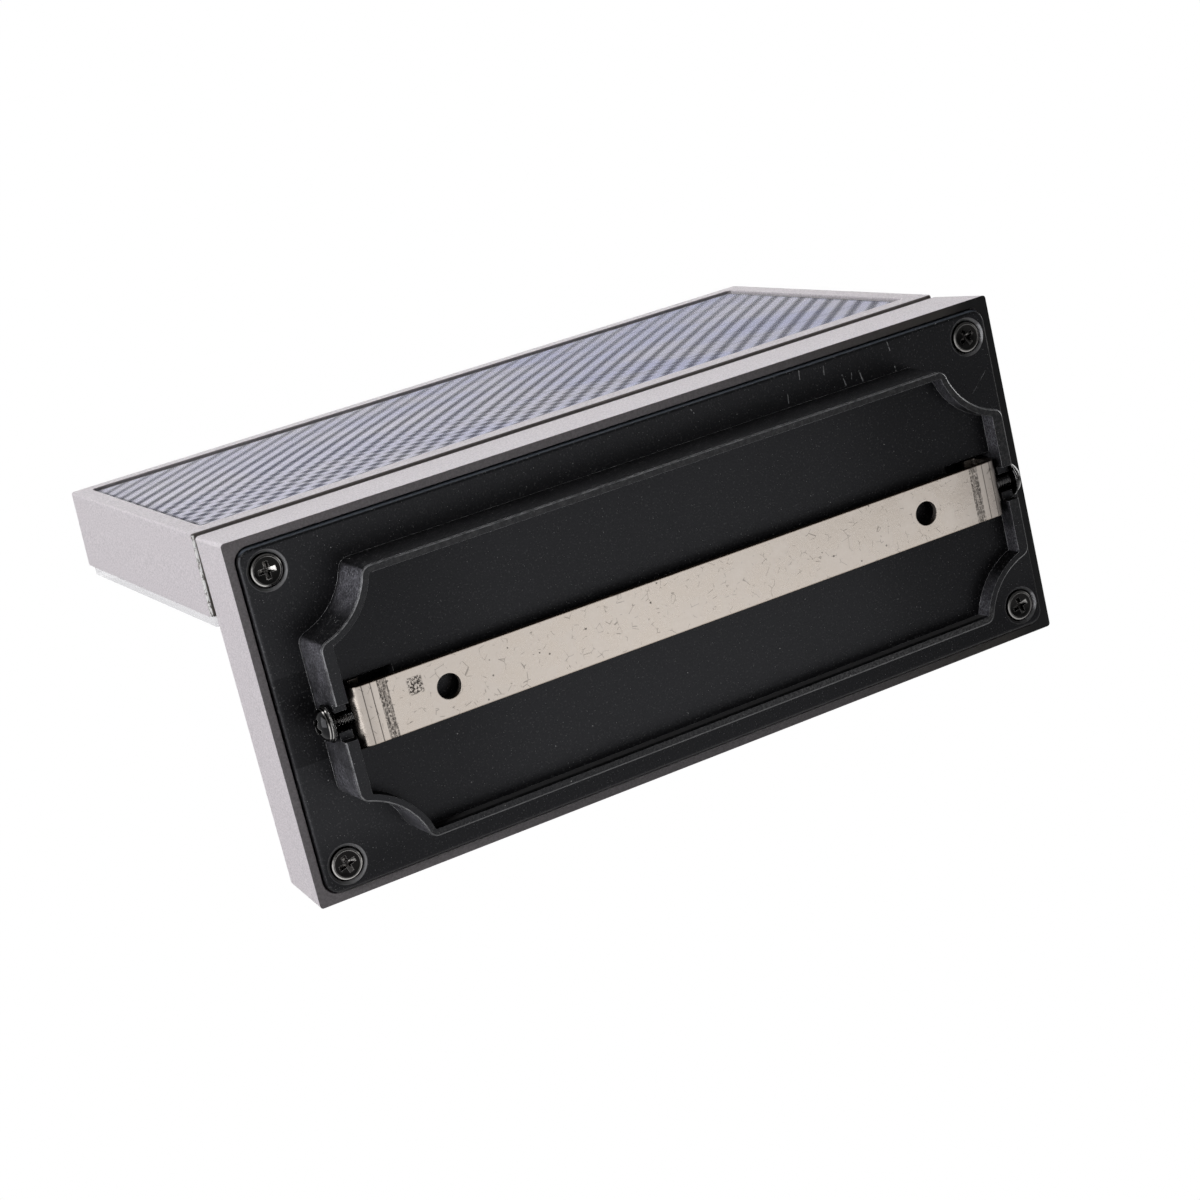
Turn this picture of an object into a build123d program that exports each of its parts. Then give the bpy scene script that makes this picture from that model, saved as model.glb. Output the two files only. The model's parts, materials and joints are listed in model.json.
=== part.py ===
from build123d import *
import math
import os

# Solar wall light: a flat wall box, a slab head with a solar panel on top and a clear lens below.
# Origin on the wall between the two bracket holes, +X along the wall, +Y out of it, +Z up.
# All sizes are in millimetres, all angles in degrees.

# Wall box
BOX_LENGTH = 200.0
BOX_HEIGHT = 85.0
BOX_DEPTH = 21.2
BOX_DRAFT = 2.0
BOX_EDGE = 0.8
BOX_WALL = 3.6
BOX_FRONT_WALL = 2.5
LIP_WALL = 2.0
MOUTH_CORNER = 3.6
POST_RADIUS = 4.6

# Back plate, with the pedestal measured at its foot
PLATE_GROOVE = 0.4
PLATE_THICKNESS = 3.6
PLATE_PROUD = 1.4
PLATE_CORNER = 3.2
PLATE_EDGE = 0.9
PEDESTAL_RISE = 13.1
PEDESTAL_DRAFT = 1.5
PEDESTAL_END_MARGIN = 10.65
PEDESTAL_SIDE_MARGIN = 10.8
PEDESTAL_WALL = 2.2
SCALLOP_RADIUS = 16.2
SCALLOP_FILLET = 2.8
RIM_SIDE = 1.7
RIM_END = 2.95
RIM_CHAMFER = 0.35
RIM_INNER_FILLET = 0.4
RECESS_DEPTH = 4.4
POCKET_LENGTH = 13.0
POCKET_MARGIN = 1.25
POCKET_DEPTH = 5.6
POCKET_WALL = 1.8
NOTCH_WIDTH = 8.4
NOTCH_DEPTH = 2.4

# Seals and running clearances
GASKET_THICKNESS = 0.8
GASKET_MARGIN = 0.2
THREAD_CLEARANCE = 0.1
HOLE_CLEARANCE = 0.3
SLIDE_CLEARANCE = 0.3
SEAT_CLEARANCE = 0.2

# Screws
CORNER_SCREW_INSET = 8.2
CORNER_HEAD_RADIUS = 3.7
CORNER_HEAD_HEIGHT = 1.9
CORNER_CROWN = 0.45
CORNER_BORE_RADIUS = 4.0
CORNER_BORE_CHAMFER = 0.6
CORNER_SHANK_RADIUS = 1.7
CORNER_SHANK_LENGTH = 12.0
FIXING_HEAD_RADIUS = 3.9
FIXING_HEAD_HEIGHT = 3.1
FIXING_CROWN = 1.6
FIXING_WASHER_RADIUS = 4.4
FIXING_WASHER_THICKNESS = 0.6
FIXING_SHANK_RADIUS = 1.95
FIXING_SHANK_LENGTH = 12.0
FIXING_AXIS_DEPTH = 4.6
LEFT_STANDOFF = 0.6
RIGHT_STANDOFF = 0.05
SMALL_HEAD_RADIUS = 2.5
SMALL_HEAD_HEIGHT = 1.6
SMALL_SHANK_RADIUS = 1.25
SMALL_SHANK_LENGTH = 4.6
SMALL_BOSS_RADIUS = 3.0
CROSS_SPAN = 1.2
CROSS_BAR = 0.36
CROSS_DEPTH = 0.5

# Wall bracket
BRACKET_END_GAP = 1.2
BRACKET_WIDTH = 13.5
BRACKET_THICKNESS = 1.6
BRACKET_BEND_RADIUS = 0.8
BRACKET_HOLE_SPACING = 126.0
BRACKET_HOLE_RADIUS = 2.9
TAB_CLEARANCE = 1.0
TAB_RETURN = 4.5

# Head
HEAD_GAP = 1.5
HEAD_DROP = 0.3
HEAD_DEPTH = 101.9
HEAD_THICKNESS = 19.3
HEAD_FLARE = 0.6
HEAD_CORNER = 0.9
HEAD_EDGE = 0.5
HEAD_WALL = 2.5
HEAD_CAVITY_CORNER = 2.0
DECK_THICKNESS = 2.0
FRAME_END = 5.0
FRAME_REAR = 6.4
FRAME_FRONT = 5.0
FRAME_CORNER = 1.3
FRAME_ROUND = 0.3
HEAD_BOSS_RADIUS = 3.6
HEAD_BOSS_LENGTH = 7.0

# Solar panel, from the tape up
PANEL_SINK = 0.45
PANEL_CLEARANCE = 0.3
TAPE_THICKNESS = 0.4
TAPE_WIDTH = 8.0
BACKING_THICKNESS = 1.2
CELL_THICKNESS = 0.25
COVER_THICKNESS = 0.3
CELL_ROWS = 6
CELL_GAP = 0.4
CELL_BORDER = 0.6

# Neck between box and head
SPACER_LENGTH = 110.0
SPACER_HEIGHT = 10.0
NECK_SCREW_SPACING = 90.0
NECK_HEAD_RADIUS = 3.4
NECK_HEAD_HEIGHT = 2.2
NECK_SHANK_RADIUS = 1.95
NECK_SHANK_LENGTH = 11.5
LEAD_RADIUS = 1.6
LEAD_BEND = 6.0
LEAD_RUN = 3.5

# Light engine
LENS_GASKET_THICKNESS = 0.6
LENS_GASKET_WIDTH = 0.9
LENS_FLANGE = 2.2
LENS_INSET = 1.0
LENS_FRONT_INSET = 0.8
LENS_RIB_HEIGHT = 1.9
LENS_RIB_WIDTH = 2.0
LENS_FIT = 0.4
REFLECTOR_THICKNESS = 1.2
REFLECTOR_HEIGHT = 5.8
REFLECTOR_FIT = 1.3
REFLECTOR_TOP_LENGTH = 160.0
REFLECTOR_TOP_WIDTH = 36.0
LED_BOARD_INSET = 1.0
LED_BOARD_WIDTH = 20.0
LED_BOARD_THICKNESS = 1.5
LED_COUNT = 10
LED_SIZE = 3.5
LED_HEIGHT = 0.9
LED_WINDOW = 5.0
LED_SCREW_INSET = 5.0
LED_SCREW_GAP = 7.5
LED_SCREW_LENGTH = 6.4

# Battery
CELL_RADIUS = 9.2
CELL_LENGTH = 65.0
CELL_SPACE = 1.2
HOLDER_WALL = 1.4
HOLDER_FLOOR = 1.2
HOLDER_RISE = 11.5
HOLDER_MARGIN = 1.5
CONTACT_THICKNESS = 1.3
CONTACT_SIZE = 10.0
EAR_LENGTH = 8.0
EAR_WIDTH = 9.0
EAR_RISE = 5.4

# Control board and mode button
BOARD_LENGTH = 120.0
BOARD_THICKNESS = 1.6
BOARD_CLEARANCE = 1.8
BOARD_SHIFT = 10.0
BOARD_FOOT = 6.9
BOARD_HOLE_INSET = 4.0
CONNECTOR_LENGTH = 9.0
CONNECTOR_DEPTH = 4.2
CONNECTOR_HEIGHT = 6.0
CONNECTOR_PITCH = 14.0
SWITCH_INSET = 14.0
BUTTON_RADIUS = 4.0
BUTTON_PROUD = 1.5
BUTTON_TRAVEL = 1.0
BUTTON_FLANGE_RADIUS = 5.8
BUTTON_FLANGE = 1.2
BUTTON_STEM_RADIUS = 2.0
SEAL_THICKNESS = 0.9
SWITCH_LENGTH = 7.0
SWITCH_DEPTH = 6.0
SWITCH_HEIGHT = 5.0
PLUNGER_RADIUS = 1.2
PLUNGER_REACH = 1.6

# Stations along Y, from the wall outwards
floor_y = RECESS_DEPTH
inner_floor_y = floor_y + PEDESTAL_WALL
pocket_end_y = floor_y + POCKET_DEPTH
plate_y = PEDESTAL_RISE
lip_y = plate_y + PLATE_PROUD
plate_in_y = plate_y + PLATE_THICKNESS
ledge_y = plate_in_y + GASKET_THICKNESS
front_y = lip_y + BOX_DEPTH
front_in_y = front_y - BOX_FRONT_WALL
head_rear_y = front_y + HEAD_GAP
head_front_y = head_rear_y + HEAD_DEPTH
battery_y = inner_floor_y + HOLDER_FLOOR + CELL_RADIUS
board_y = battery_y + CELL_RADIUS + BOARD_CLEARANCE
board_front_y = board_y + BOARD_THICKNESS
switch_y = board_y - SWITCH_DEPTH / 2

# Lengths shared by pieces that fit each other
draft_inset = PEDESTAL_RISE * math.tan(math.radians(PEDESTAL_DRAFT))
cavity_x = BOX_LENGTH / 2 - BOX_WALL
cavity_z = BOX_HEIGHT / 2 - BOX_WALL
screw_x = BOX_LENGTH / 2 - CORNER_SCREW_INSET
screw_z = BOX_HEIGHT / 2 - CORNER_SCREW_INSET
pedestal_x = BOX_LENGTH / 2 - PEDESTAL_END_MARGIN
pedestal_z = BOX_HEIGHT / 2 - PEDESTAL_SIDE_MARGIN
recess_x = pedestal_x - draft_inset - RIM_END
bracket_x = recess_x - BRACKET_END_GAP
tab_end_y = pocket_end_y - TAB_CLEARANCE
pocket_z = BRACKET_WIDTH / 2 + POCKET_MARGIN
head_cavity_x = BOX_LENGTH / 2 - HEAD_WALL
head_cavity_rear = head_rear_y + HEAD_WALL
head_cavity_front = head_front_y + HEAD_FLARE - HEAD_WALL
lens_front = head_front_y + HEAD_FLARE - LENS_FRONT_INSET
panel_x = BOX_LENGTH / 2 - FRAME_END
panel_rear = head_rear_y + FRAME_REAR
panel_front = head_front_y - FRAME_FRONT
led_y = (head_cavity_rear + head_cavity_front) / 2
led_screw_x = REFLECTOR_TOP_LENGTH / 2 - LED_SCREW_INSET
button_x = BOARD_SHIFT + BOARD_LENGTH / 2 - SWITCH_INSET
cell_pitch = 2 * CELL_RADIUS + CELL_SPACE
holder_half_x = CELL_LENGTH / 2 + CONTACT_THICKNESS
holder_half_z = cell_pitch / 2 + CELL_RADIUS + SLIDE_CLEARANCE

# Stations along Z
head_top_z = BOX_HEIGHT / 2 - HEAD_DROP
head_bottom_z = head_top_z - HEAD_THICKNESS
cover_top_z = head_top_z - PANEL_SINK
cells_top_z = cover_top_z - COVER_THICKNESS
backing_top_z = cells_top_z - CELL_THICKNESS
tape_top_z = backing_top_z - BACKING_THICKNESS
panel_floor_z = tape_top_z - TAPE_THICKNESS
deck_z = panel_floor_z - DECK_THICKNESS
lens_top_z = head_bottom_z - LENS_GASKET_THICKNESS
rib_top_z = lens_top_z + LENS_RIB_HEIGHT
reflector_top_z = rib_top_z + REFLECTOR_HEIGHT
led_board_top_z = reflector_top_z + LED_BOARD_THICKNESS
neck_z = (led_board_top_z + deck_z) / 2
board_top_z = neck_z - LEAD_BEND - LEAD_RUN
board_bottom_z = BOARD_FOOT - cavity_z
stem_top_z = board_bottom_z - BUTTON_TRAVEL - SLIDE_CLEARANCE
battery_z = holder_half_z + HOLDER_WALL + HOLDER_MARGIN + PEDESTAL_WALL - pedestal_z

# Places of what repeats
SIDES = (-1, 1)
CORNERS = [(sx * screw_x, sz * screw_z) for sx in SIDES for sz in SIDES]
NECK_SCREWS = [side * NECK_SCREW_SPACING / 2 for side in SIDES]
LED_SCREWS = [-led_screw_x, 0, led_screw_x]
LEDS = [(2 * i / (LED_COUNT - 1) - 1) * (led_screw_x - LED_SCREW_GAP) for i in range(LED_COUNT)]
CELLS = [battery_z + side * cell_pitch / 2 for side in SIDES]
EARS = [side * (holder_half_x + HOLDER_WALL + EAR_LENGTH / 2) for side in SIDES]
BOARD_HOLES = [
    (BOARD_SHIFT + side * (BOARD_LENGTH / 2 - BOARD_HOLE_INSET), z)
    for side in SIDES
    for z in (board_bottom_z + BOARD_HOLE_INSET, board_top_z - BOARD_HOLE_INSET)
]


def block(x0, x1, y0, y1, z0, z1):
    """Box between two corners."""
    return Pos((x0 + x1) / 2, (y0 + y1) / 2, (z0 + z1) / 2) * Box(x1 - x0, y1 - y0, z1 - z0)


def wall_plane(y):
    """Plane parallel to the wall whose normal points out of the wall and whose second axis is up."""
    return Plane(origin=(0, y, 0), x_dir=(-1, 0, 0), z_dir=(0, 1, 0))


def out_rod(radius, x, z, y0, y1):
    """Round rod along Y."""
    return extrude(wall_plane(y0) * Pos(-x, z) * Circle(radius), y1 - y0)


def up_rod(radius, x, y, z0, z1):
    """Round rod along Z."""
    return extrude(Plane.XY.offset(z0) * Pos(x, y) * Circle(radius), z1 - z0)


def side_rod(radius, y, z, x0, x1):
    """Round rod along X."""
    return extrude(Plane.YZ.offset(x0) * Pos(y, z) * Circle(radius), x1 - x0)


def wall_slab(inset, corner, y0, y1):
    """Rounded slab parallel to the wall, set in from the wall box's outline."""
    outline = RectangleRounded(BOX_LENGTH - 2 * inset, BOX_HEIGHT - 2 * inset, corner)
    return extrude(wall_plane(y0) * outline, y1 - y0)


def flat_slab(length, rear, front, corner, z0, z1):
    """Rounded level slab between a rear and a front line."""
    outline = Pos(0, (rear + front) / 2) * RectangleRounded(length, front - rear, corner)
    return extrude(Plane.XY.offset(z0) * outline, z1 - z0)


def plain_screw(head_radius, head_height, shank_radius, shank_length):
    """Hidden screw along +Z with its seat at the origin."""
    head = Pos(0, 0, -head_height / 2) * Cylinder(head_radius, head_height)
    return head + Pos(0, 0, shank_length / 2) * Cylinder(shank_radius, shank_length)


def cross_screw(head_radius, head_height, crown, shank_radius, shank_length):
    """Visible screw along +Z with a bevelled crown and a cross recess."""
    head = Pos(0, 0, -head_height / 2) * Cylinder(head_radius, head_height)
    head = chamfer(head.edges().sort_by(Axis.Z)[0], crown)
    head += Pos(0, 0, shank_length / 2) * Cylinder(shank_radius, shank_length)
    bar = Box(head_radius * CROSS_SPAN, head_radius * CROSS_BAR, 2 * head_height * CROSS_DEPTH)
    cross = bar + Rot(0, 0, 90) * bar
    return head - Pos(0, 0, -head_height) * cross


def screw_at(screw, point, direction):
    """Screw moved to a seat point and turned to a direction."""
    return Plane(origin=point, z_dir=direction) * screw


def pedestal_outline(end_inset, side_inset, fillet_radius):
    """Oblong whose corners are cut back by round scallops about the corner screws."""
    outline = Rectangle(2 * (pedestal_x - end_inset), 2 * (pedestal_z - side_inset))
    for x, z in CORNERS:
        outline -= Pos(x, z) * Circle(SCALLOP_RADIUS + side_inset)
    return fillet(outline.vertices(), fillet_radius)


def base_housing():
    """Die-cast wall box: drafted tray with a stepped mouth, corner posts and a port for the button."""
    body = extrude(wall_plane(lip_y) * Rectangle(BOX_LENGTH, BOX_HEIGHT), BOX_DEPTH, taper=BOX_DRAFT)
    side_edges, front_edges = body.edges().group_by(Axis.Y)[1:]
    body = fillet(side_edges + front_edges, BOX_EDGE)
    body -= wall_slab(LIP_WALL, MOUTH_CORNER, lip_y, ledge_y)
    body -= wall_slab(BOX_WALL, MOUTH_CORNER, ledge_y, front_in_y)
    for x, z in CORNERS:
        body += out_rod(POST_RADIUS, x, z, plate_in_y, front_in_y)
        web_x = sorted((x, x / screw_x * cavity_x))
        web_z = sorted((z, z / screw_z * cavity_z))
        body += block(*web_x, ledge_y, front_in_y, *web_z)
        thread_end = plate_in_y + CORNER_SHANK_LENGTH
        body -= out_rod(CORNER_SHANK_RADIUS + THREAD_CLEARANCE, x, z, plate_in_y, thread_end)
    for x, z in BOARD_HOLES:
        body += out_rod(SMALL_BOSS_RADIUS, x, z, board_front_y, front_in_y)
        thread_end = board_y + SMALL_SHANK_LENGTH + THREAD_CLEARANCE
        body -= out_rod(SMALL_SHANK_RADIUS + THREAD_CLEARANCE, x, z, board_front_y, thread_end)
    for x in NECK_SCREWS:
        body -= out_rod(NECK_SHANK_RADIUS + HOLE_CLEARANCE, x, neck_z, front_in_y, front_y)
    body -= out_rod(LEAD_RADIUS + HOLE_CLEARANCE, 0, neck_z, front_in_y, front_y)
    return body - up_rod(BUTTON_RADIUS + SLIDE_CLEARANCE, button_x, switch_y, -BOX_HEIGHT / 2, -cavity_z)


def pedestal():
    """Drafted, scalloped block between plate and wall with a broken rim edge."""
    foot_plane = Plane(origin=(0, plate_y, 0), x_dir=(1, 0, 0), z_dir=(0, -1, 0))
    body = extrude(foot_plane * pedestal_outline(0, 0, SCALLOP_FILLET), PEDESTAL_RISE, taper=PEDESTAL_DRAFT)
    return chamfer(body.faces().sort_by(Axis.Y)[0].edges(), RIM_CHAMFER)


def back_plate():
    """Moulded back: flange, hollow scalloped pedestal with a rim, tab pockets and screw notches."""
    plate = wall_slab(LIP_WALL + PLATE_GROOVE, PLATE_CORNER, plate_y, plate_in_y)
    plate = fillet(plate.faces().sort_by(Axis.Y)[0].edges(), PLATE_EDGE)
    plate += pedestal()
    hollow = pedestal_outline(PEDESTAL_WALL, PEDESTAL_WALL, RIM_INNER_FILLET)
    plate -= extrude(wall_plane(inner_floor_y) * hollow, plate_in_y - inner_floor_y)
    pocket_inner_x = recess_x - POCKET_LENGTH
    for side in SIDES:
        case_x = sorted((side * (pocket_inner_x - POCKET_WALL), side * (pedestal_x - PEDESTAL_WALL)))
        case_z = pocket_z + POCKET_WALL
        plate += block(*case_x, inner_floor_y, pocket_end_y + POCKET_WALL, -case_z, case_z)
    recess = pedestal_outline(draft_inset + RIM_END, draft_inset + RIM_SIDE, RIM_INNER_FILLET)
    plate -= extrude(wall_plane(0) * recess, floor_y)
    slot = FIXING_SHANK_RADIUS + HOLE_CLEARANCE
    for side in SIDES:
        pocket_x = sorted((side * pocket_inner_x, side * recess_x))
        plate -= block(*pocket_x, floor_y, pocket_end_y, -pocket_z, pocket_z)
        wall_x = sorted((side * recess_x, side * pedestal_x))
        plate -= block(*wall_x, 0, NOTCH_DEPTH, -NOTCH_WIDTH / 2, NOTCH_WIDTH / 2)
        plate -= block(*wall_x, NOTCH_DEPTH, FIXING_AXIS_DEPTH, -slot, slot)
        plate -= side_rod(slot, FIXING_AXIS_DEPTH, 0, *wall_x)
    for x, z in CORNERS:
        plate -= out_rod(CORNER_BORE_RADIUS, x, z, plate_y, plate_y + CORNER_HEAD_HEIGHT)
        plate -= out_rod(CORNER_SHANK_RADIUS + HOLE_CLEARANCE, x, z, plate_y, plate_in_y)
    mouths = plate.edges().filter_by(GeomType.CIRCLE).filter_by(is_bore_mouth)
    plate = chamfer(mouths, CORNER_BORE_CHAMFER)
    ear_y = inner_floor_y + EAR_RISE
    for x in EARS:
        plate += out_rod(SMALL_BOSS_RADIUS, x, battery_z, inner_floor_y, ear_y)
        thread_end = ear_y + HOLDER_FLOOR - SMALL_SHANK_LENGTH
        plate -= out_rod(SMALL_SHANK_RADIUS + THREAD_CLEARANCE, x, battery_z, thread_end, ear_y)
    return plate


def is_bore_mouth(edge):
    """True for the round edge where a corner screw's counterbore meets the plate's outer face."""
    same_radius = math.isclose(edge.radius, CORNER_BORE_RADIUS, abs_tol=0.001)
    return same_radius and math.isclose(edge.center().Y, plate_y, abs_tol=0.001)


def back_gasket():
    """Flat seal on the ledge of the wall box's mouth."""
    ring = wall_slab(LIP_WALL + GASKET_MARGIN, MOUTH_CORNER, plate_in_y, ledge_y)
    return ring - wall_slab(BOX_WALL - GASKET_MARGIN, MOUTH_CORNER, plate_in_y, ledge_y)


def back_plate_screws():
    """Four screws that hold the back plate to the corner posts."""
    head = (CORNER_HEAD_RADIUS, CORNER_HEAD_HEIGHT, CORNER_CROWN)
    screw = cross_screw(*head, CORNER_SHANK_RADIUS, CORNER_SHANK_LENGTH)
    seat_y = plate_y + CORNER_HEAD_HEIGHT
    return Compound([screw_at(screw, (x, seat_y, z), (0, 1, 0)) for x, z in CORNERS])


def wall_bracket():
    """Steel strip with two wall holes, both ends bent into tapped tabs with a short return."""
    sheet = BRACKET_THICKNESS
    bend = BRACKET_BEND_RADIUS
    outer = fillet(Rectangle(2 * bracket_x, tab_end_y).vertices(), bend + sheet)
    inner = fillet(Rectangle(2 * (bracket_x - sheet), tab_end_y - 2 * sheet).vertices(), bend)
    opening = Pos(0, (tab_end_y - sheet) / 2) * Rectangle(2 * (bracket_x - TAB_RETURN), sheet)
    profile = Pos(0, tab_end_y / 2) * (outer - inner - opening)
    strip = extrude(profile, BRACKET_WIDTH / 2, both=True)
    for side in SIDES:
        strip -= out_rod(BRACKET_HOLE_RADIUS, side * BRACKET_HOLE_SPACING / 2, 0, 0, sheet)
        tab_x = sorted((side * bracket_x, side * (bracket_x - sheet - bend)))
        strip -= side_rod(FIXING_SHANK_RADIUS + THREAD_CLEARANCE, FIXING_AXIS_DEPTH, 0, *tab_x)
    return strip


def fixing_screw(side, standoff):
    """Washer-head screw through a rim notch into a bracket tab, a little short of tight as it was found."""
    head = (FIXING_HEAD_RADIUS, FIXING_HEAD_HEIGHT, FIXING_CROWN)
    screw = cross_screw(*head, FIXING_SHANK_RADIUS, FIXING_SHANK_LENGTH)
    screw += Pos(0, 0, -FIXING_WASHER_THICKNESS / 2) * Cylinder(FIXING_WASHER_RADIUS, FIXING_WASHER_THICKNESS)
    seat = (side * (pedestal_x + standoff), FIXING_AXIS_DEPTH, 0)
    return screw_at(screw, seat, (-side, 0, 0))


def head_housing():
    """Die-cast head: flared slab, sunk panel frame on top, cavity for the light below."""
    mouth = RectangleRounded(BOX_LENGTH, HEAD_DEPTH + HEAD_FLARE, HEAD_CORNER)
    crown = RectangleRounded(BOX_LENGTH - 2 * HEAD_FLARE, HEAD_DEPTH, HEAD_CORNER)
    mid_y = (head_rear_y + head_front_y) / 2
    lower = Plane.XY.offset(head_bottom_z) * Pos(0, mid_y + HEAD_FLARE / 2) * mouth
    upper = Plane.XY.offset(head_top_z) * Pos(0, mid_y) * crown
    head = loft([lower, upper], ruled=True)
    head = fillet(head.faces().sort_by(Axis.Z)[-1].edges(), HEAD_EDGE)
    head -= flat_slab(2 * panel_x, panel_rear, panel_front, FRAME_CORNER, panel_floor_z, head_top_z)
    head = fillet(head.faces().sort_by(Axis.Z)[-1].inner_wires()[0].edges(), FRAME_ROUND)
    head -= flat_slab(
        2 * head_cavity_x, head_cavity_rear, head_cavity_front, HEAD_CAVITY_CORNER, head_bottom_z, deck_z
    )
    boss_end = head_cavity_rear + HEAD_BOSS_LENGTH
    for x in NECK_SCREWS:
        head += out_rod(HEAD_BOSS_RADIUS, x, neck_z, head_cavity_rear, boss_end)
        head -= out_rod(NECK_SHANK_RADIUS + THREAD_CLEARANCE, x, neck_z, head_rear_y, boss_end)
    head -= out_rod(LEAD_RADIUS + HOLE_CLEARANCE, 0, neck_z, head_rear_y, head_cavity_rear)
    for x in LED_SCREWS:
        head += up_rod(SMALL_BOSS_RADIUS, x, led_y, led_board_top_z, deck_z)
        head -= up_rod(SMALL_SHANK_RADIUS + THREAD_CLEARANCE, x, led_y, led_board_top_z, deck_z)
    return head


def head_spacer():
    """Seal in the gap between box and head, with ports for the two screws and the lead."""
    half_x = SPACER_LENGTH / 2
    half_z = SPACER_HEIGHT / 2
    spacer = block(-half_x, half_x, front_y, head_rear_y, neck_z - half_z, neck_z + half_z)
    for x in NECK_SCREWS:
        spacer -= out_rod(NECK_SHANK_RADIUS + HOLE_CLEARANCE, x, neck_z, front_y, head_rear_y)
    return spacer - out_rod(LEAD_RADIUS + HOLE_CLEARANCE, 0, neck_z, front_y, head_rear_y)


def head_screws():
    """Two screws from inside the box into the head's rear wall."""
    screw = plain_screw(NECK_HEAD_RADIUS, NECK_HEAD_HEIGHT, NECK_SHANK_RADIUS, NECK_SHANK_LENGTH)
    return Compound([screw_at(screw, (x, front_in_y, neck_z), (0, 1, 0)) for x in NECK_SCREWS])


def head_lead():
    """Lead from the control board up and through the neck to the light engine."""
    plug_y = board_y - CONNECTOR_DEPTH / 2
    start = (0, plug_y, board_top_z)
    end = (0, led_y - LED_BOARD_WIDTH / 2, neck_z)
    path = FilletPolyline(start, (0, plug_y, neck_z), end, radius=LEAD_BEND)
    return sweep(Plane(origin=start, z_dir=(0, 0, 1)) * Circle(LEAD_RADIUS), path=path)


def panel_layer(z0, z1):
    """One full layer of the solar panel inside the head's frame."""
    gap = PANEL_CLEARANCE
    return flat_slab(2 * (panel_x - gap), panel_rear + gap, panel_front - gap, FRAME_CORNER, z0, z1)


def panel_tape():
    """Frame of adhesive tape under the panel."""
    half_x = panel_x - TAPE_WIDTH
    window = block(-half_x, half_x, panel_rear + TAPE_WIDTH, panel_front - TAPE_WIDTH, panel_floor_z, tape_top_z)
    return panel_layer(panel_floor_z, tape_top_z) - window


def solar_backing():
    """Carrier board of the cells."""
    return panel_layer(tape_top_z, backing_top_z)


def solar_cells():
    """Long cells in rows on the carrier board."""
    length = 2 * (panel_x - PANEL_CLEARANCE - CELL_BORDER)
    span = panel_front - panel_rear - 2 * (PANEL_CLEARANCE + CELL_BORDER)
    width = (span - (CELL_ROWS - 1) * CELL_GAP) / CELL_ROWS
    rows = GridLocations(length, width + CELL_GAP, 1, CELL_ROWS)
    centre = Pos(0, (panel_rear + panel_front) / 2, (backing_top_z + cells_top_z) / 2)
    return Compound([centre * place * Box(length, width, CELL_THICKNESS) for place in rows])


def solar_cover():
    """Clear cover over the cells, sunk below the frame."""
    return panel_layer(cells_top_z, cover_top_z)


def lens():
    """Clear plate under the head with a locating rib inside the head's mouth."""
    flange_x = BOX_LENGTH / 2 - LENS_INSET
    flange_rear = head_rear_y + LENS_INSET
    plate = flat_slab(2 * flange_x, flange_rear, lens_front, HEAD_CORNER, lens_top_z - LENS_FLANGE, lens_top_z)
    rib_x = head_cavity_x - LENS_FIT
    rib_rear = head_cavity_rear + LENS_FIT
    rib_front = head_cavity_front - LENS_FIT
    width = LENS_RIB_WIDTH
    rib = flat_slab(2 * rib_x, rib_rear, rib_front, HEAD_CAVITY_CORNER, lens_top_z, rib_top_z)
    rib -= block(width - rib_x, rib_x - width, rib_rear + width, rib_front - width, lens_top_z, rib_top_z)
    return plate + rib


def lens_gasket():
    """Seal between the lens plate and the head's lower edge."""
    width = LENS_GASKET_WIDTH
    inner_x = head_cavity_x + SEAT_CLEARANCE
    inner_rear = head_cavity_rear - SEAT_CLEARANCE
    inner_front = head_cavity_front + SEAT_CLEARANCE
    ring = flat_slab(
        2 * (inner_x + width), inner_rear - width, inner_front + width, HEAD_CAVITY_CORNER, lens_top_z, head_bottom_z
    )
    return ring - block(-inner_x, inner_x, inner_rear, inner_front, lens_top_z, head_bottom_z)


def reflector():
    """White tray whose walls slope from the lens up to the board, with a window for each source."""
    foot_x = head_cavity_x - REFLECTOR_FIT
    foot_rear = head_cavity_rear + REFLECTOR_FIT
    foot_front = head_cavity_front - REFLECTOR_FIT
    foot_size = (2 * foot_x, foot_front - foot_rear)
    top_size = (REFLECTOR_TOP_LENGTH, REFLECTOR_TOP_WIDTH)
    foot_y = (foot_rear + foot_front) / 2

    def tray(shrink, z0, z1):
        """Tapered block, all of whose sides are set in by one distance."""
        lower = Plane.XY.offset(z0) * Pos(0, foot_y) * Rectangle(*(s - 2 * shrink for s in foot_size))
        upper = Plane.XY.offset(z1) * Pos(0, led_y) * Rectangle(*(s - 2 * shrink for s in top_size))
        return loft([lower, upper], ruled=True)

    wall = REFLECTOR_THICKNESS
    shell = tray(0, rib_top_z, reflector_top_z) - tray(wall, rib_top_z, reflector_top_z - wall)
    window = LED_WINDOW / 2
    for x in LEDS:
        shell -= block(x - window, x + window, led_y - window, led_y + window, rib_top_z, reflector_top_z)
    for x in LED_SCREWS:
        shell -= up_rod(SMALL_SHANK_RADIUS + HOLE_CLEARANCE, x, led_y, rib_top_z, reflector_top_z)
    return shell


def led_board():
    """Metal-core board above the reflector."""
    half_x = REFLECTOR_TOP_LENGTH / 2 - LED_BOARD_INSET
    half_y = LED_BOARD_WIDTH / 2
    board = block(-half_x, half_x, led_y - half_y, led_y + half_y, reflector_top_z, led_board_top_z)
    for x in LED_SCREWS:
        board -= up_rod(SMALL_SHANK_RADIUS + HOLE_CLEARANCE, x, led_y, reflector_top_z, led_board_top_z)
    return board


def leds():
    """Light sources under the board, one in each window."""
    centre_z = reflector_top_z - LED_HEIGHT / 2
    return Compound([Pos(x, led_y, centre_z) * Box(LED_SIZE, LED_SIZE, LED_HEIGHT) for x in LEDS])


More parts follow.
